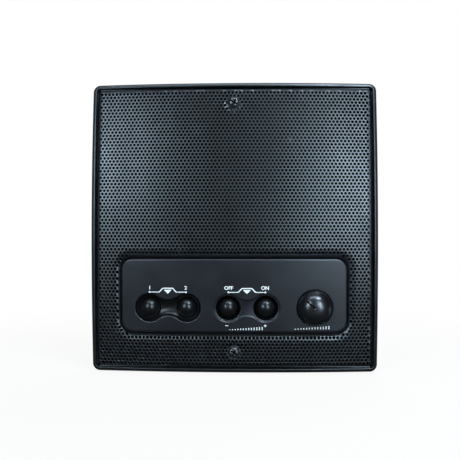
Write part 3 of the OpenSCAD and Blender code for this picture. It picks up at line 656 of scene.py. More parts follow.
class STATION_OT_frame(bpy.types.Operator):
    """Moulded frame: rounded rim, baffle with its openings, and screw bosses"""

    bl_idname = "station.frame"
    bl_label = "Frame"

    def execute(self, context):
        front = Front(context)
        wall, corner = front.s.wall / MM, front.s.corner / MM
        step, inner, outer, crown = 0.25, 0.35, 0.9, math.radians(34)  # step, radii of the edges, tilt
        start = wall - step - inner
        broad = outer + (start - outer - step) / math.sin(crown)
        ahead, behind = BAFFLE_FRONT, BAFFLE_REAR

        def ring(inset, y, on_dome=False):
            """The frame's outline, moved in, at a depth or at a distance behind the dome."""
            loop = rounded_loop(0, 0, front.frame_w - 2 * inset, front.frame_h - 2 * inset,
                                max(corner - inset, 0.6), 10, 36)
            return lifted(loop, front.dome_y(loop[:, 0], loop[:, 1]) + y if on_dome else y)

        rings = [ring(wall + 0.6, ahead), ring(wall - 0.1, ahead - 0.12), ring(wall - step, ahead - 0.6)]
        for low, high, r, x, y in ((-math.pi / 2, 0, inner, start, inner), (0.03, crown, broad, start, broad),
                                   (crown + 0.12, math.pi / 2, outer, start - (broad - outer) * math.sin(crown),
                                    broad - (broad - outer) * math.cos(crown))):
            for a in np.linspace(low, high, 8):
                rings.append(ring(x - r * math.sin(a), y - r * math.cos(a), True))
        for inset, y in ((step, ahead - 0.1), (step - 0.12, ahead + 0.04), (0.03, ahead + 0.1), (0, ahead + 0.3),
                         (0, -0.5), (0.15, -0.15), (0.5, 0), (wall - 0.5, 0), (wall - 0.15, -0.15), (wall, -0.5),
                         (wall, behind + 0.6), (wall + 0.2, behind + 0.2), (wall + 0.6, behind)):
            rings.append(ring(inset, y))
        shape = Shape()
        shape.strips(rings)

        speaker_z = node_middle("speaker_gasket")[2]
        margin, window_r, chamfer = 2.5, 2.2, 0.3
        window_w = node_span("circuit_board")[0] - 1
        window_low = node_box("control_panel")[0][2] + margin
        window_high = speaker_z - node_box("speaker_gasket")[1][0] - margin
        window_z, window_h = (window_low + window_high) / 2, window_high - window_low
        openings = [
            lambda d: circle_loop(0, speaker_z, OPENING_R + d, 128),
            lambda d: rounded_loop(0, window_z, window_w + 2 * d, window_h + 2 * d, window_r + d, 6, 12),
        ]
        openings += [lambda d, x=x, z=z, r=r: circle_loop(x, z, r + d, 24)
                     for node, r in (("panel_screws", 1.7), ("speaker_screws", 1.5))
                     for x, z in screw_places(node)]
        fronts, rears = [rings[0][:, [0, 2]]], [rings[-1][:, [0, 2]]]
        for opening_loop in openings:
            grown, plain = opening_loop(chamfer), opening_loop(0)
            shape.strips([lifted(grown, ahead), lifted(plain, ahead + chamfer),
                          lifted(plain, behind - chamfer), lifted(grown, behind)])
            fronts.append(grown)
            rears.append(grown)
        boss, bore = 5.0, SCREW_BORE
        boss_y = front.dimple_y() + front.s.sheet / MM + SEAT_GAP
        for z in (-front.screw_z, front.screw_z):
            circles = [(boss + 0.7, ahead), (boss + 0.2, ahead - 0.2), (boss, ahead - 0.7), (boss, boss_y + 0.3),
                       (boss - 0.3, boss_y), (bore + 0.3, boss_y), (bore, boss_y + 0.3),
                       (bore, behind - chamfer), (bore + chamfer, behind)]
            shape.lathe(0, z, circles)
            fronts.append(circle_loop(0, z, boss + 0.7, 48))
            rears.append(circle_loop(0, z, bore + chamfer, 48))
        for loops, y in ((fronts, ahead), (rears, behind)):
            shape.add(*fill(loops, [], inside_loops(loops), level(y)))

        def shaded(x, y, z):
            """Which places lie behind the grille, on the baffle, whose darker matte finish is partly painted
            shade.
            """
            margin = 0.3
            return ((y > ahead - margin) & (y < behind - margin - 0.05)
                    & (np.abs(x) < front.frame_w / 2 - wall - margin)
                    & (np.abs(z) < front.frame_h / 2 - wall - margin))

        piece = shape.piece("station_frame", "rim_plastic", "station", "frame_plastic",
                            other="baffle_and_painted_shade", where=shaded)
        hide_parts("front_frame")
        return {"FINISHED"}


class STATION_OT_grille(bpy.types.Operator):
    """Perforated steel grille, domed, dipped round the panel and rolled at its edge"""

    bl_idname = "station.grille"
    bl_label = "Grille"

    def execute(self, context):
        front = Front(context)
        s = front.s
        pitch, row, hole, sheet = s.hole_pitch / MM, s.row_pitch / MM, s.hole_diameter / MM / 2, s.sheet / MM
        margin, land, bevel = 0.3, 0.9, 0.06  # metal left at the edge and round openings, edge of each hole

        rows = int(front.grille_h / 2 / row) + 1
        columns = int(front.grille_w / 2 / pitch) + 1
        j, i = np.meshgrid(np.arange(-rows, rows + 1), np.arange(-columns, columns + 1), indexing="ij")
        shift_x, shift_z = s.hole_right / MM, s.hole_up / MM
        cx, cz = ((i + 0.5 * (j % 2)) * pitch).ravel() + shift_x, (j * row).ravel() + shift_z
        fits = ((front.grille_distance(cx, cz) < -hole - margin)
                & (front.panel_distance(cx, cz, PANEL_GAP) > hole + land)
                & (np.hypot(cx, np.abs(cz) - front.screw_z) > SCREW_BORE + hole + land))
        cells = {(int(a), int(b)) for a, b in zip(j.ravel()[fits], i.ravel()[fits])}
        cx, cz = cx[fits], cz[fits]
        n = len(cx)

        peak = (row * row + pitch * pitch / 4) / (2 * row)
        cell = np.array([(pitch / 2, row - peak), (0, peak), (-pitch / 2, row - peak),
                         (-pitch / 2, peak - row), (0, -peak), (pitch / 2, peak - row)])
        corners = np.stack([cx[:, None] + cell[:, 0], cz[:, None] + cell[:, 1]], axis=2).reshape(-1, 2)
        _, first, index = np.unique(np.round(corners * 1000).astype(int), axis=0, return_index=True,
                                    return_inverse=True)
        net, index = corners[first], index.reshape(n, 6)
        spokes = np.radians(30 + 30 * np.arange(12))

        def hole_ring(r):
            """Twelve points round each hole."""
            return np.stack([cx[:, None] + r * np.cos(spokes), cz[:, None] + r * np.sin(spokes)],
                            axis=2).reshape(-1, 2)

        mouth, throat = hole_ring(hole + bevel), hole_ring(hole)
        deep = throat.reshape(n, 12, 2)[:, ::2].reshape(-1, 2)
        parts = [(net, 0.0), (mouth, 0.0), (throat, bevel), (deep, sheet), (net, sheet)]
        starts = np.cumsum([0] + [len(p) for p, _ in parts])
        points = np.vstack([laid(p, front.grille_y) + [0, d, 0] for p, d in parts])
        base = np.arange(n)
        faces = []
        for k in range(6):
            a, b = index[:, k], index[:, (k + 1) % 6]
            h0, h1, h2 = (starts[1] + 12 * base + (2 * k + q) % 12 for q in range(3))
            t0, t1, t2 = (starts[2] + 12 * base + (2 * k + q) % 12 for q in range(3))
            d0, d2 = (starts[3] + 6 * base + (k + q) % 6 for q in range(2))
            for corner_list in ((a, b, h1), (a, h1, h0), (b, h2, h1), (h0, h1, t1, t0), (h1, h2, t2, t1),
                                (t0, t1, t2, d2, d0), (starts[4] + a, d0, d2, starts[4] + b)):
                faces.extend(np.column_stack(corner_list).tolist())
        shape = Shape()
        shape.add(points, faces)

        bonds = np.sort(np.column_stack([index.ravel(), np.roll(index, -1, axis=1).ravel()]), axis=1)
        bonds, uses = np.unique(bonds, axis=0, return_counts=True)
        rim = bonds[uses == 1]
        used, renamed = np.unique(rim, return_inverse=True)
        outline = rounded_loop(0, 0, front.grille_w, front.grille_h, GRILLE_CORNER, 8, 120)
        cutout = rounded_loop(0, front.panel_z, front.panel_w + 2 * PANEL_GAP, front.panel_h + 2 * PANEL_GAP,
                              s.panel_corner / MM + PANEL_GAP, 12, 60)
        seats = [circle_loop(0, z, SCREW_BORE, 32) for z in (-front.screw_z, front.screw_z)]
        loops = [outline, cutout] + seats

        def bare(x, z):
            """Which places lie on the sheet and in no hole's cell."""
            inside = ((front.grille_distance(x, z) < 0) & (front.panel_distance(x, z, PANEL_GAP) > 0)
                      & (np.hypot(x, np.abs(z) - front.screw_z) > SCREW_BORE * 0.99))
            best, owner = np.full(len(x), 1e9), [None] * len(x)
            x, z = x - shift_x, z - shift_z
            for shift in (-1, 0, 1):
                jj = np.round(z / row).astype(int) + shift
                ii = np.round(x / pitch - 0.5 * (jj % 2)).astype(int)
                away = np.hypot(x - (ii + 0.5 * (jj % 2)) * pitch, z - jj * row)
                for q in np.flatnonzero(away < best):
                    best[q], owner[q] = away[q], (int(jj[q]), int(ii[q]))
            return inside & np.array([o not in cells for o in owner])

        for depth in (0.0, sheet):
            shape.add(*fill(loops, net[used], bare, lambda x, z, d=depth: front.grille_y(x, z) + d,
                            renamed.reshape(-1, 2)))
        for loop in loops:
            edge = laid(loop, front.grille_y)
            shape.strips([edge, edge + [0, sheet, 0]])
        piece = shape.piece("perforated_grille", "grille_paint", "station", "grille_paint", 28.0)
        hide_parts("speaker_grille")
        return {"FINISHED"}


class STATION_OT_screws(bpy.types.Operator):
    """Two pan-head wall screws with cross recesses and cut threads"""

    bl_idname = "station.screws"
    bl_label = "Wall screws"

    def execute(self, context):
        front = Front(context)
        low, high = node_box("wall_screws")
        head_r, shank, neck, tip = front.screw_head, 2.05, 1.7, high[1]
        top, seat, side, flat, eased = low[1], front.dimple_y() - SEAT_GAP, 0.5, 0.25, 0.15
        thread = BAFFLE_REAR + 1.5

        def crown(x, z):
            """Depth of the rounded head."""
            r = np.clip((np.hypot(x, z) / head_r - flat) / (1 - flat), 0, 1)
            return top + (seat - side - top) * quarter(r)

        turn, reach, arm = math.radians(57.5), 2.6, 0.56
        wall_slope, end_slope, recess = 0.16, 0.5, 1.7
        c, q = math.cos(turn), math.sin(turn)

        def turned(x, z):
            """A place on the head, along and across the recess."""
            return x * c + z * q, z * c - x * q

        def cross(reach, half):
            """Outline of the recess."""
            corners = []
            for k in range(4):
                ck, qk = math.cos(k * math.pi / 2 + turn), math.sin(k * math.pi / 2 + turn)
                corners.extend((u * ck - v * qk, u * qk + v * ck)
                               for u, v in ((reach, -half), (reach, half), (half, half)))
            return np.array(corners)

        def depth(x, z):
            """Depth of the head with its recess."""
            u, v = np.abs(turned(x, z))
            sunk = np.zeros(len(x))
            for along, across in ((u, v), (v, u)):
                wall = np.clip((arm - across) / wall_slope, 0, 1)
                end = np.clip((reach - along) / end_slope, 0, 1)
                sunk = np.maximum(sunk, recess * np.minimum(wall, end) * (1 - 0.2 * along))
            return crown(x, z) + sunk

        def recessed(x, y, z):
            """Which places lie in a cross recess; they are painted near-black as shade."""
            u, v = np.abs(turned(x, z - np.copysign(front.screw_z, z)))
            return (y < seat + 1.0) & (np.maximum(u, v) < reach) & (np.minimum(u, v) < arm - 0.05)

        rings = [circle_loop(0, 0, head_r * f, 64) for f in (1.0, 0.998, 0.99, 0.97, 0.93, 0.88, 0.82, 0.74)]
        extra = [p for f in (0.64, 0.52, 0.40, 0.30) for p in circle_loop(0, 0, head_r * f, 48)
                 if min(np.abs(turned(*p))) > arm + 0.1]
        count, per_turn, pitch = 32, 6, 1.6
        root, crest, point, blunt = 0.74, 0.28, 4.0, 0.12  # shares of shank and pitch, length of the tip, its end
        shape = Shape()
        for z0 in (front.screw_z, -front.screw_z):
            head, faces = fill(rings + [cross(reach, arm), cross(reach - end_slope, arm - wall_slope)],
                               [(0, 0)] + extra, lambda x, z: np.hypot(x, z) < head_r, depth)
            shape.add(head + [0, 0, z0], faces)
            shape.lathe(0, z0, [(head_r, seat - side), (head_r, seat - eased), (head_r - eased, seat),
                                (neck, seat), (neck, thread - 0.2), (shank * root, thread)], 64)
            levels = np.arange(thread, tip, pitch / per_turn)
            angles = np.linspace(0, 2 * math.pi, count, endpoint=False)
            threads = []
            for y in levels:
                wave = (y / pitch + angles / (2 * math.pi)) % 1.0
                ridge = np.clip(1 - np.abs(wave - 0.5) / crest, 0, 1)
                taper = min(1.0, (tip - y) / point + blunt)
                r = shank * (root + (1 - root) * ridge) * taper
                threads.append(np.column_stack([r * np.cos(angles), np.full(count, y), z0 + r * np.sin(angles)]))
            shape.strips(threads)
            shape.cap(threads[-1], (0, tip, z0))
        piece = shape.piece("wall_screw_pair", "screw_oxide", "station", "screw_black", 40.0,
                            other="baffle_and_painted_shade", where=recessed)
        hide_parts("wall_screws")
        return {"FINISHED"}


class STATION_OT_panel(bpy.types.Operator):
    """Control panel with its scooped recess, round wells and knob seat"""

    bl_idname = "station.panel"
    bl_label = "Control panel"

    def execute(self, context):
        front = Front(context)
        s = front.s
        round_r, corner = s.panel_round / MM, s.panel_corner / MM
        lobe, waist, well, deep = s.lobe / MM, s.waist / MM, s.round_well / MM, s.well_depth / MM
        play, lip, brim = 0.3, 0.75, 0.6  # gap round a ball, edge radii of the scoop and of the wells
        step, bore = s.step_depth / MM, s.ball / MM + play
        step_out, step_w = 0.4, 0.9  # where the step's slope begins, and its width
        left, right = front.pairs
        knob_x, _, knob_z = front.knob
        knob_gap, seat_deep, seat_lip, seat_slope, shaft = 0.6, 1.1, 0.3, 0.5, 3.3
        seat_r = front.knob_r + knob_gap
        rear, thick, eased, cup_wall, cup_floor = BAFFLE_FRONT, 2.2, 0.3, 1.9, 2.0

        def from_pair(pair, x, z):
            """Signed distance to the dumbbell round a pair of buttons."""
            return dumbbell_distance(x - pair[0], z - front.row_z, front.pitch, lobe, waist)

        def round_pair(pair, grow):
            """Points of that dumbbell, grown by some distance."""
            return dumbbell_loop(pair[0], front.row_z, front.pitch, lobe, waist, grow)

        def rounding(away, r):
            """Drop of a rounded edge, by the distance inside it."""
            return r * quarter(np.clip(1 - away / r, 0, 1))

        def hollow(away, edge, depth, width):
            """Depth of a hollow with a rounded lip, by the distance outside its outline."""
            bowl = edge + (depth - edge) * np.sqrt(np.maximum(1 - np.clip(1 + away / width, 0, 1) ** 2, 0))
            return np.where(away > 0, rounding(away, edge), bowl)

        def relief(x, z):
            """How far the front lies below its bent sheet."""
            drop = rounding(-front.panel_distance(x, z), round_r)
            drop = np.maximum(drop, hollow(from_pair(left, x, z), lip, deep, waist / 2))
            flush = step * smooth((step_out - from_pair(right, x, z)) / step_w)
            for b in front.buttons[2:]:
                away = np.hypot(x - b[0], z - b[2]) - well
                flush = np.maximum(flush, np.where(away > 0, flush + rounding(away, brim),
                                                   step + hollow(away, brim, deep - step, well - bore)))
            drop = np.maximum(drop, flush)
            away = np.hypot(x - knob_x, z - knob_z) - seat_r
            seat = seat_lip + (seat_deep - seat_lip) * smooth(-away / seat_slope)
            return np.maximum(drop, np.where(away > 0, rounding(away, seat_lip), seat))

        def surface(x, z):
            """Depth of the front."""
            return front.panel_y(x, z) + relief(x, z)

        def back(x, z):
            """Depth of the sheet's rear."""
            return front.panel_y(x, z) + thick

        def outline(inset):
            """The panel's outline, moved in."""
            return rounded_loop(0, front.panel_z, front.panel_w - 2 * inset, front.panel_h - 2 * inset,
                                max(corner - inset, 0.5), 16, 60)

        def grid(xs, zs):
            """Every place of a grid."""
            x, z = np.meshgrid(xs, zs)
            return x.ravel(), z.ravel()

        edges = [outline(round_r * (1 - math.cos(a))) for a in np.radians([0, 12, 24, 36, 48, 60, 75, 90, 105])]
        bores = [circle_loop(b[0], b[2], bore, 96) for b in front.buttons]
        shaft_loop = circle_loop(knob_x, knob_z, shaft, 32)
        scoop = [lip + 0.25] + [lip * (1 - math.sin(a)) for a in np.radians([0, 15, 30, 45, 60, 75, 90])]
        scoop += [-0.04, -0.15, -0.35, -0.7, -1.2, -1.8]
        loops = edges + [round_pair(left, d) for d in scoop]
        loops += [round_pair(right, d) for d in (0.65, 0.4, 0.25, 0.1, -0.05, -0.2, -0.35, -0.5)]
        loops += bores
        loops += [circle_loop(b[0], b[2], well + d, 96) for b in front.buttons[2:]
                  for d in (0.6, 0.4, 0.2, 0.05, 0, -0.04, -0.16, -0.4, -0.75)]
        loops += [circle_loop(knob_x, knob_z, seat_r + d, 96) for d in (0.55, 0.3, 0.15, 0.04, 0, -0.2, -0.5)]
        loops.append(shaft_loop)

        half_w, half_h, space = front.panel_w / 2, front.panel_h / 2, 2.0
        x, z = grid(np.arange(-half_w + 2, half_w - 1.5, space),
                    np.arange(front.panel_z - half_h + 2, front.panel_z + half_h - 1.5, space))
        free = ((relief(x, z) < 1e-6) & (from_pair(left, x, z) > 1.5) & (from_pair(right, x, z) > 1.2)
                & (np.hypot(x - knob_x, z - knob_z) > seat_r + 1.0))
        extra = np.column_stack([x[free], z[free]]).tolist()
        x, z = grid(np.arange(-7, 7.01, 0.6) + left[0], np.arange(-4.2, 4.21, 0.6) + front.row_z)
        trough = ((from_pair(left, x, z) < -2.1)
                  & (np.hypot(np.abs(x - left[0]) - front.pitch / 2, z - front.row_z) > bore + play))
        extra += np.column_stack([x[trough], z[trough]]).tolist()

        def kept(x, z):
            """Which places lie on the front and in none of its openings."""
            solid = front.panel_distance(x, z) < 0
            for b in front.buttons:
                solid &= np.hypot(x - b[0], z - b[2]) > bore * 0.999
            return solid & (np.hypot(x - knob_x, z - knob_z) > shaft * 0.99)

        shape = Shape()
        shape.add(*fill(loops, extra, kept, surface))
        inner = outline(thick)
        shape.strips([laid(edges[0], surface), lifted(edges[0], rear - eased), lifted(outline(eased), rear),
                      lifted(outline(thick - eased), rear), lifted(inner, rear - eased), laid(inner, back)])
        tub = round_pair(left, cup_wall)
        cups = [circle_loop(b[0], b[2], well + cup_wall, 64) for b in front.buttons[2:]]
        within = inside_loops([inner, tub] + cups)
        shape.add(*fill([inner, tub] + cups + [shaft_loop], extra[::3],
                        lambda x, z: (front.panel_distance(x, z, -thick) < 0) & within(x, z), back))
        for holes, cup in ((bores[:2], tub), (bores[2:3], cups[0]), (bores[3:], cups[1])):
            floor = float(front.panel_y(*cup.mean(axis=0))) + deep + cup_floor
            shape.strips([laid(cup, back), lifted(cup, floor)])
            shape.add(*fill([cup] + holes, [], inside_loops([cup] + holes), level(floor)))
            for hole in holes:
                shape.strips([laid(hole, surface), lifted(hole, floor)])
        shape.strips([laid(shaft_loop, surface), laid(shaft_loop, back)])
        board, pilot, pilot_deep, bevel, root = node_box("circuit_board")[0][1], 1.5, 6, 0.25, 1.5
        for node, r, end in (("panel_screws", 2.9, rear), ("board_screws", 3.0, board)):
            for x, z in screw_places(node):
                shape.lathe(x, z, [(r, float(front.panel_y(x, z)) + root), (r, end - bevel), (r - bevel, end),
                                   (pilot + bevel, end), (pilot, end - bevel), (pilot, end - pilot_deep)], 32)

        def sunk(x, y, z):
            """Which places lie deep in the wells round the buttons; their darker finish is painted shade on a
            slightly smoother surface.
            """
            return (np.abs(z - front.row_z) < lobe) & (relief(x, z) > step + 0.5)

        piece = shape.piece("control_panel_moulding", "panel_plastic", "station", "panel_plastic", 38.0,
                            other="well_plastic_painted_shade", where=sunk)
        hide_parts("control_panel")
        return {"FINISHED"}


class STATION_OT_buttons(bpy.types.Operator):
    """Four ball buttons with stop flanges"""

    bl_idname = "station.buttons"
    bl_label = "Ball buttons"

    def execute(self, context):
        s = context.scene.station_sizes
        ball, neck, below, thick, bevel = s.ball / MM, 3.4, 2.2, 1.2, 0.2
        bulge = [(ball * math.sin(a), ball * (1 - math.cos(a))) for a in np.radians(np.arange(4, 91, 3.9))]
        for key in KEYS:
            (_, face, _), (_, end, _) = node_box(key + "_button")
            x, _, z = node_middle(key + "_button")
            flange = node_radius(key + "_button")
            stop = face + KEY_STROKE + s.well_depth / MM + below
            rear = stop + thick
            back = max(min(end, node_box(key + "_plunger")[0][1]), rear) + 0.01
            profile = [(0, face)] + [(r, face + y) for r, y in bulge]
            profile += [(ball, stop - 0.3), (ball + 0.1, stop - 0.08), (ball + 0.3, stop), (flange - bevel, stop),
                        (flange, stop + bevel), (flange, rear - bevel), (flange - bevel, rear), (neck, rear),
                        (neck, back), (0, back)]
            shape = Shape()
            shape.lathe(x, z, profile, 72)
            piece = shape.piece(key + "_ball", "ball_plastic", key + "_key", "button_plastic", 40.0)
            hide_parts(key + "_button")
        return {"FINISHED"}


class STATION_OT_knob(bpy.types.Operator):
    """Domed volume knob with its pointer groove"""

    bl_idname = "station.knob"
    bl_label = "Volume knob"

    def execute(self, context):
        front = Front(context)
        r, top, rear = front.knob_r, front.knob_front, front.knob_rear
        knob_x, _, knob_z = front.knob
        rim, eased, shaft, crown, bulge, shoulder = 1.6, 0.25, 3.05, 2.9, 2.6, 0.6
        skirt, hollow = rear - rim, top + crown
        half, bevel, slit_deep, slope_deep = front.s.groove / MM / 2, 1.25, 1.1, 0.16
        turn, start, reach = math.radians(48.0), 0.6, r * 0.70
        along, across = np.array([-math.sin(turn), math.cos(turn)]), np.array([math.cos(turn), math.sin(turn)])

        def dome(x, z):
            """Depth of the dome without its groove."""
            q = np.clip(np.hypot(x, z) / r, 0, 1)
            return top + (skirt - top) * (1 - (1 - q ** bulge) ** shoulder)

        def depth(x, z):
            """Depth of the dome with its groove, one side of it sloped."""
            t, u = x * along[0] + z * along[1], x * across[0] + z * across[1]
            slit = smooth((half - np.abs(u)) / (half * 0.6))
            slope = np.where(u > 0, np.clip((bevel - u) / bevel, 0, 1), 0)
            end = smooth(np.minimum(t - start, reach - t) / 0.7)
            return dome(x, z) + np.maximum(slit_deep * slit, slope_deep * slope) * end

        rings = [circle_loop(0, 0, r * f, 144) for f in (1.0, 0.9985, 0.994, 0.985, 0.97)]
        across_steps = np.concatenate([np.linspace(-r, -1.2 * half, 16), half * np.linspace(-1, 1, 13),
                                       [1.2 * half, 0.8 * bevel, bevel, 1.1 * bevel],
                                       np.linspace(1.3 * bevel, r, 15)])
        t, u = np.meshgrid(np.linspace(-r, r, 61), across_steps)
        t, u = t.ravel(), u.ravel()
        inner = np.hypot(t, u) < r * 0.955
        extra = [tuple(p) for p in t[inner, None] * along + u[inner, None] * across]
        shape = Shape()
        sheet, faces = fill(rings, extra, lambda x, z: np.hypot(x, z) < r, depth)
        shape.add(sheet + [knob_x, 0, knob_z], faces)
        shape.lathe(knob_x, knob_z, [(r, skirt), (r, rear - eased), (r - eased, rear), (shaft + eased, rear),
                                     (shaft, rear - eased), (shaft, hollow), (0, hollow)], 144)

        def grooved(x, y, z):
            """Which places lie in the pointer groove; they are painted near-black as shade."""
            x, z = x - knob_x, z - knob_z
            return (np.hypot(x, z) < reach + 0.4) & (y > dome(x, z) + 0.22) & (y < hollow - 0.2)

        piece = shape.piece("volume_dome", "knob_plastic", "volume_control", "button_plastic", 34.0,
                            other="baffle_and_painted_shade", where=grooved)
        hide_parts("volume_knob")
        return {"FINISHED"}


class STATION_OT_marks(bpy.types.Operator):
    """Printed marks of the control panel: brackets, arrows, numbers, OFF and ON, minus, plus and bars"""

    bl_idname = "station.marks"
    bl_label = "Printed marks"

    def execute(self, context):
        front = Front(context)
        ink = front.s.ink / MM
        shape = Shape()

        def lay(flat, faces):
            """Lays flat faces on the panel, with their sides."""
            flat = np.asarray(flat, float)
            y = front.panel_y(flat[:, 0], flat[:, 1])
            n = len(flat)
            top, sunk = lifted(flat, y - ink), lifted(flat, y + ink)
            sides = {}
            for f in faces:
                for a, b in zip(f, tuple(f[1:]) + (f[0],)):
                    key = (min(a, b), max(a, b))
                    sides[key] = None if key in sides else (a, b)
            walls = [(a, b, b + n, a + n) for pair in sides.values() if pair for a, b in [pair]]
            shape.add(np.vstack([top, sunk]), [tuple(f) for f in faces] + walls)

        def stroke(x0, z0, x1, z1, width):
            """A straight line, in short steps so that it follows the panel's bend."""
            a, b = np.array([x0, z0], float), np.array([x1, z1], float)
            side = np.array([-(b - a)[1], (b - a)[0]]) / np.linalg.norm(b - a) * width / 2
            stride = 1.5
            steps = max(1, int(np.linalg.norm(b - a) / stride))
            flat = []
            for k in range(steps + 1):
                p = a + (b - a) * k / steps
                flat += [p + side, p - side]
            lay(flat, [(2 * k, 2 * k + 1, 2 * k + 3, 2 * k + 2) for k in range(steps)])

        def disc(x, z, r):
            """A round dot."""
            loop = circle_loop(x, z, r, 20)
            lay(loop, [tuple(range(len(loop)))])

        def bars(x0, x1, z, count=13, low=0.5, high=2.2, width=0.62):
            """A row of short bars that grow to the right."""
            for k in range(count):
                x = x0 + (x1 - x0) * k / (count - 1)
                stroke(x, z, x, z + low + (high - low) * k / (count - 1), width)

        def words(text, x, z, size):
            """A short generic word or number, centred at a place."""
            curve = bpy.data.curves.new("mark", "FONT")
            curve.body, curve.size, curve.align_x, curve.align_y = text, size, "CENTER", "CENTER"
            curve.resolution_u, curve.offset = 4, size * 0.03
            holder = bpy.data.objects.new("mark", curve)
            bpy.context.scene.collection.objects.link(holder)
            mesh = bpy.data.meshes.new_from_object(holder.evaluated_get(bpy.context.evaluated_depsgraph_get()))
            flat = [(x + v.co.x, z + v.co.y) for v in mesh.vertices]
            faces = [tuple(p.vertices) for p in mesh.polygons]
            bpy.data.objects.remove(holder)
            bpy.data.curves.remove(curve)
            bpy.data.meshes.remove(mesh)
            lay(flat, faces)

        row = front.row_z
        bracket, signs = row + 10.7, row - 11.9  # heights above and below the buttons
        thin, bold = 0.5, 0.7
        for pair, names in ((front.pairs[0], ("1", "2")), (front.pairs[1], ("OFF", "ON"))):
            x = pair[0]
            for side, name in zip((-1, 1), names):
                stroke(x + side * 5.7, bracket, x + side * 12.5, bracket, thin)
                disc(x + side * 12.5, bracket, 0.62)
                stroke(x + side * 5.8, bracket, x + side * 3.4, bracket + 2.6, bold)
                words(name, x + side * 12.3, bracket + 2.8, 3.4)
            stroke(x - 3.5, bracket + 2.6, x + 3.5, bracket + 2.6, bold)
            lay([(x - 2.7, bracket + 1.6), (x, bracket - 1.2), (x + 2.7, bracket + 1.6)], [(0, 1, 2)])
        x = front.pairs[1][0]
        stroke(x - 14.6, signs, x - 12.7, signs, thin)
        stroke(x + 11.5, signs, x + 13.2, signs, thin)
        stroke(x + 12.35, signs - 0.85, x + 12.35, signs + 0.85, thin)
        bars(x - 11.5, x + 10.3, signs - 3.0)
        bars(front.knob[0] - 13.2, front.knob[0] + 9.6, signs - 2.6)
        shape.piece("printed_marks", "printed_ink", "station", "panel_plastic", 30.0)
        return {"FINISHED"}


class STATION_OT_suspension(bpy.types.Operator):
    """Pleated surround and corrugated spider, which stretch between the basket and the cone"""

    bl_idname = "station.suspension"
    bl_label = "Cone suspension"

    def execute(self, context):
        glue = 0.35  # from the middle of the cloth to what it is glued to
        seat = node_box("speaker_basket")[0][1] - glue
        lip = node_box("speaker_cone")[0][1] + CONE_PAPER + glue
        outer, edge = node_radius("cone_surround"), node_radius("speaker_cone")
        line = [(outer, seat), (outer - 1.5, seat)]
        line += self.waves((edge + 4.7, seat), (edge + 0.6, lip), 2, 0.4, 1.6)
        line += [(edge - 0.8, lip), (edge - 1.9, lip)]
        self.cloth("pleated_surround", "surround_cloth", "cone_surround", line, 0.24, seat + 0.12, lip)
        foot = node_box("cone_spider")[1][1] - 0.2
        collar = node_box("speaker_cone")[1][1] + glue
        outer, coil = node_radius("cone_spider"), node_radius("voice_coil")
        line = [(outer, foot), (outer - 0.8, foot)]
        line += self.waves((outer - 1.7, foot), (coil + 1.2, collar), 4, 0.7, 1.0)
        line += [(coil + 0.6, collar), (coil + 0.12, collar)]
        self.cloth("corrugated_spider", "spider_cloth", "cone_spider", line, 0.3, foot - 0.15, collar + 0.15)
        return {"FINISHED"}

    def waves(self, first, last, count, height, bow):
        """A line of waves from one radius and depth to another."""
        t = np.linspace(0, 1, 16 * count + 1)
        fade = np.clip(np.minimum(t, 1 - t) / 0.12, 0, 1)
        r = first[0] + (last[0] - first[0]) * t
        y = first[1] + (last[1] - first[1]) * t ** bow + height * fade * np.sin(2 * math.pi * count * t)
        return list(zip(r, y))

    def cloth(self, name, slot, node, line, thick, still, moving):
        """A thin ring along a line of radius and depth; still and moving are not used."""
        x, _, z = node_middle("speaker_cone")
        line = np.array(line)
        along = np.gradient(line, axis=0)
        along /= np.linalg.norm(along, axis=1)[:, None]
        across = np.column_stack([-along[:, 1], along[:, 0]]) * thick / 2
        shape = Shape()
        shape.strips([lifted(circle_loop(x, z, r, 96), y)
                      for r, y in np.vstack([line + across, (line - across)[::-1]])], closed=True)
        piece = shape.piece(name, slot, None, slot, 50.0)
        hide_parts(node)
        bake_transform(piece)


class STATION_OT_inside(bpy.types.Operator):
    """Finishes of the loudspeaker, the switches and the circuit board"""

    bl_idname = "station.inside"
    bl_label = "Inner parts"

    def execute(self, context):
        finishes = {
            "panel_screws": "zinc_plate", "board_screws": "zinc_plate", "speaker_screws": "screw_oxide",
            "switch_bodies": "switch_plastic", "potentiometer_shaft": "bright_steel",
            "potentiometer_body": "zinc_plate", "circuit_board": "board_laminate",
            "terminal_block": "terminal_plastic", "terminal_screws": "bright_steel",
            "capacitors": "capacitor_sleeve", "control_chip": "chip_epoxy", "speaker_gasket": "gasket_board",
            "speaker_basket": "zinc_plate", "speaker_terminals": "tag_board", "top_plate": "bright_steel",
            "magnet": "ferrite", "back_plate": "bright_steel", "voice_coil": "coil_former",
            "speaker_cone": "cone_paper", "dust_cap": "cone_paper",
        }
        finishes.update({key + "_plunger": "plunger_plastic" for key in KEYS})
        for node, name in finishes.items():
            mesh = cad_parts[node].data
            mesh.materials.clear()
            mesh.materials.append(Finishes.get(name))
        return {"FINISHED"}


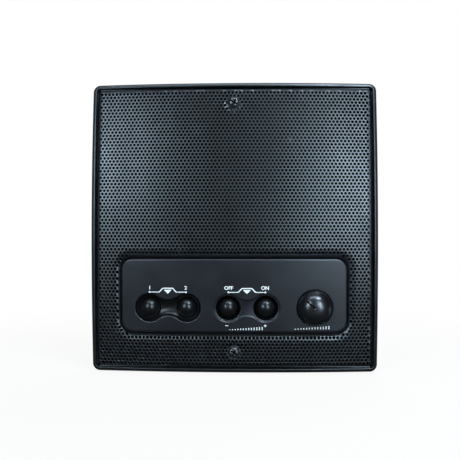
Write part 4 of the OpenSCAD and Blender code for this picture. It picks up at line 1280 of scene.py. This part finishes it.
class STATION_OT_stage(bpy.types.Operator):
    """Pale floor, soft lights, white background and the camera"""

    bl_idname = "station.stage"
    bl_label = "Stage"

    def execute(self, context):
        scene = context.scene
        scene.view_settings.view_transform = "Standard"
        ground, cool = CAD_BOX[0][2], (0.84, 0.95, 1.0)
        self.floor(ground - 0.0005)
        self.world(scene)
        for name, turn, rise, away, size, power in (
                ("left_softbox", -29, 14, 0.95, (0.15, 0.42), 2.8),
                ("right_low_softbox", 25, 9, 0.95, (0.16, 0.44), 3.7),
                ("right_high_softbox", 32, 48, 0.95, (0.20, 0.20), 3.6),
                ("top_softbox", 0, 62, 0.9, (0.8, 0.16), 2.6),
                ("rear_softbox", 160, 35, 1.1, (0.8, 0.8), 6.0)):
            light = bpy.data.lights.new(name, "AREA")
            light.shape, light.size, light.size_y, light.energy = "RECTANGLE", size[0], size[1], power
            light.color = WHITE[:3] if name == "rear_softbox" else cool
            self.aim(scene, bpy.data.objects.new(name, light), turn, rise, away)
        self.tent(ground - 0.0002)
        camera = bpy.data.cameras.new("photo_view")
        camera.sensor_width, camera.lens = 36.0, 49.76
        eye = bpy.data.objects.new("photo_view", camera)
        eye.location = (0.0097, -0.4528, -0.0070)
        pan, tilt = 0.0284, 0.0118
        ahead = Vector((-math.sin(pan), math.cos(pan), math.tan(tilt)))
        eye.rotation_euler = ahead.to_track_quat("-Z", "Y").to_euler()
        scene.collection.objects.link(eye)
        scene.camera = eye
        return {"FINISHED"}

    def aim(self, scene, thing, turn, rise, away):
        """Puts a light round the station, turned from the front, and points it there."""
        a, e = math.radians(turn), math.radians(rise)
        thing.location = Vector((math.sin(a) * math.cos(e), -math.cos(a) * math.cos(e), math.sin(e))) * away
        thing.rotation_euler = (-thing.location).to_track_quat("-Z", "Y").to_euler()
        scene.collection.objects.link(thing)

    def tent(self, height):
        """Dark cloths round the front that only gloss sees, for the black surfaces to reflect."""
        turns, rises, far = np.radians(np.linspace(-105, 105, 29)), np.radians(np.linspace(-4, 88, 13)), 1.6
        points = [(far * math.sin(a) * math.cos(e), -far * math.cos(a) * math.cos(e), height + far * math.sin(e))
                  for e in rises for a in turns]
        n = len(turns)
        faces = [(k * n + i, k * n + i + 1, (k + 1) * n + i + 1, (k + 1) * n + i)
                 for k in range(len(rises) - 1) for i in range(n - 1)]
        points += [(-far, -far, height), (far, -far, height), (far, 0, height), (-far, 0, height)]
        faces.append(tuple(range(len(points) - 4, len(points))))
        mesh = bpy.data.meshes.new("tent")
        mesh.from_pydata(points, [], faces)
        mesh.materials.append(finish("tent_cloth", base=(0.012, 0.012, 0.012, 1), roughness=0.9, grain=400))
        tent = bpy.data.objects.new("tent", mesh)
        tent.visible_camera = tent.visible_diffuse = tent.visible_shadow = False
        bpy.context.scene.collection.objects.link(tent)

    def floor(self, height):
        """A wide pale floor that shows the shadow near the station and doesn't show from below."""
        size = 6.0
        mesh = bpy.data.meshes.new("floor")
        corners = [(-size, -size, height), (size, -size, height), (size, size, height), (-size, size, height)]
        mesh.from_pydata(corners, [], [(0, 1, 2, 3)])
        material = bpy.data.materials.new("floor_paint")
        material.use_nodes = True
        tree = material.node_tree
        tree.nodes.clear()
        paint = add(tree, "ShaderNodeBsdfDiffuse", Color=(0.82, 0.82, 0.82, 1))
        white = add(tree, "ShaderNodeEmission", Color=WHITE, Strength=1.0)
        place = add(tree, "ShaderNodeTexCoord").outputs["Object"]
        away = add(tree, "ShaderNodeVectorMath", {"operation": "LENGTH"}, (place,)).outputs["Value"]
        near, far, dim = 0.12, 0.5, 0.88
        faded = add(tree, "ShaderNodeMapRange", {"interpolation_type": "SMOOTHSTEP"},
                    (away, near, far, dim, 1.0)).outputs[0]
        shown = maths(tree, "MULTIPLY", seen_rays(tree), faded)
        pale = add(tree, "ShaderNodeMixShader", values=(shown, paint.outputs[0], white.outputs[0]))
        clear = add(tree, "ShaderNodeBsdfTransparent")
        below = add(tree, "ShaderNodeNewGeometry").outputs["Backfacing"]
        both = add(tree, "ShaderNodeMixShader", values=(below, pale.outputs[0], clear.outputs[0]))
        out = add(tree, "ShaderNodeOutputMaterial")
        tree.links.new(both.outputs[0], out.inputs[0])
        mesh.materials.append(material)
        floor = bpy.data.objects.new("floor", mesh)
        bpy.context.scene.collection.objects.link(floor)

    def world(self, scene):
        """White where the camera, gloss and glass look, and soft grey light elsewhere."""
        world = bpy.data.worlds.new("studio")
        scene.world = world
        world.use_nodes = True
        tree = world.node_tree
        tree.nodes.clear()
        soft = add(tree, "ShaderNodeBackground", Color=WHITE, Strength=0.15)
        white = add(tree, "ShaderNodeBackground", Color=WHITE, Strength=1.0)
        both = add(tree, "ShaderNodeMixShader", values=(seen_rays(tree), soft.outputs[0], white.outputs[0]))
        out = add(tree, "ShaderNodeOutputWorld")
        tree.links.new(both.outputs[0], out.inputs[0])


OPERATORS = (STATION_OT_frame, STATION_OT_grille, STATION_OT_screws, STATION_OT_panel, STATION_OT_buttons,
             STATION_OT_knob, STATION_OT_marks, STATION_OT_suspension, STATION_OT_inside, STATION_OT_stage)


class STATION_PT_sidebar(bpy.types.Panel):
    """Lists the station's pieces"""

    bl_idname = "STATION_PT_sidebar"
    bl_label = "Intercom station"
    bl_space_type = "VIEW_3D"
    bl_region_type = "UI"
    bl_category = "Station"

    def draw(self, context):
        for operator in OPERATORS:
            self.layout.operator(operator.bl_idname)


CLASSES = (StationSizes, StationColours) + OPERATORS + (STATION_PT_sidebar,)


def register():
    """Adds the classes and the sizes to Blender."""
    for cls in CLASSES:
        bpy.utils.register_class(cls)
    bpy.types.Scene.station_sizes = PointerProperty(type=StationSizes)
    bpy.types.Scene.station_colours = PointerProperty(type=StationColours)


def unregister():
    """Takes them out again."""
    del bpy.types.Scene.station_colours
    del bpy.types.Scene.station_sizes
    for cls in reversed(CLASSES):
        bpy.utils.unregister_class(cls)


def main():
    """Builds every piece in order."""
    register()
    for operator in OPERATORS:
        group, name = operator.bl_idname.split(".")
        getattr(getattr(bpy.ops, group), name)()


if __name__ == "__main__":
    main()
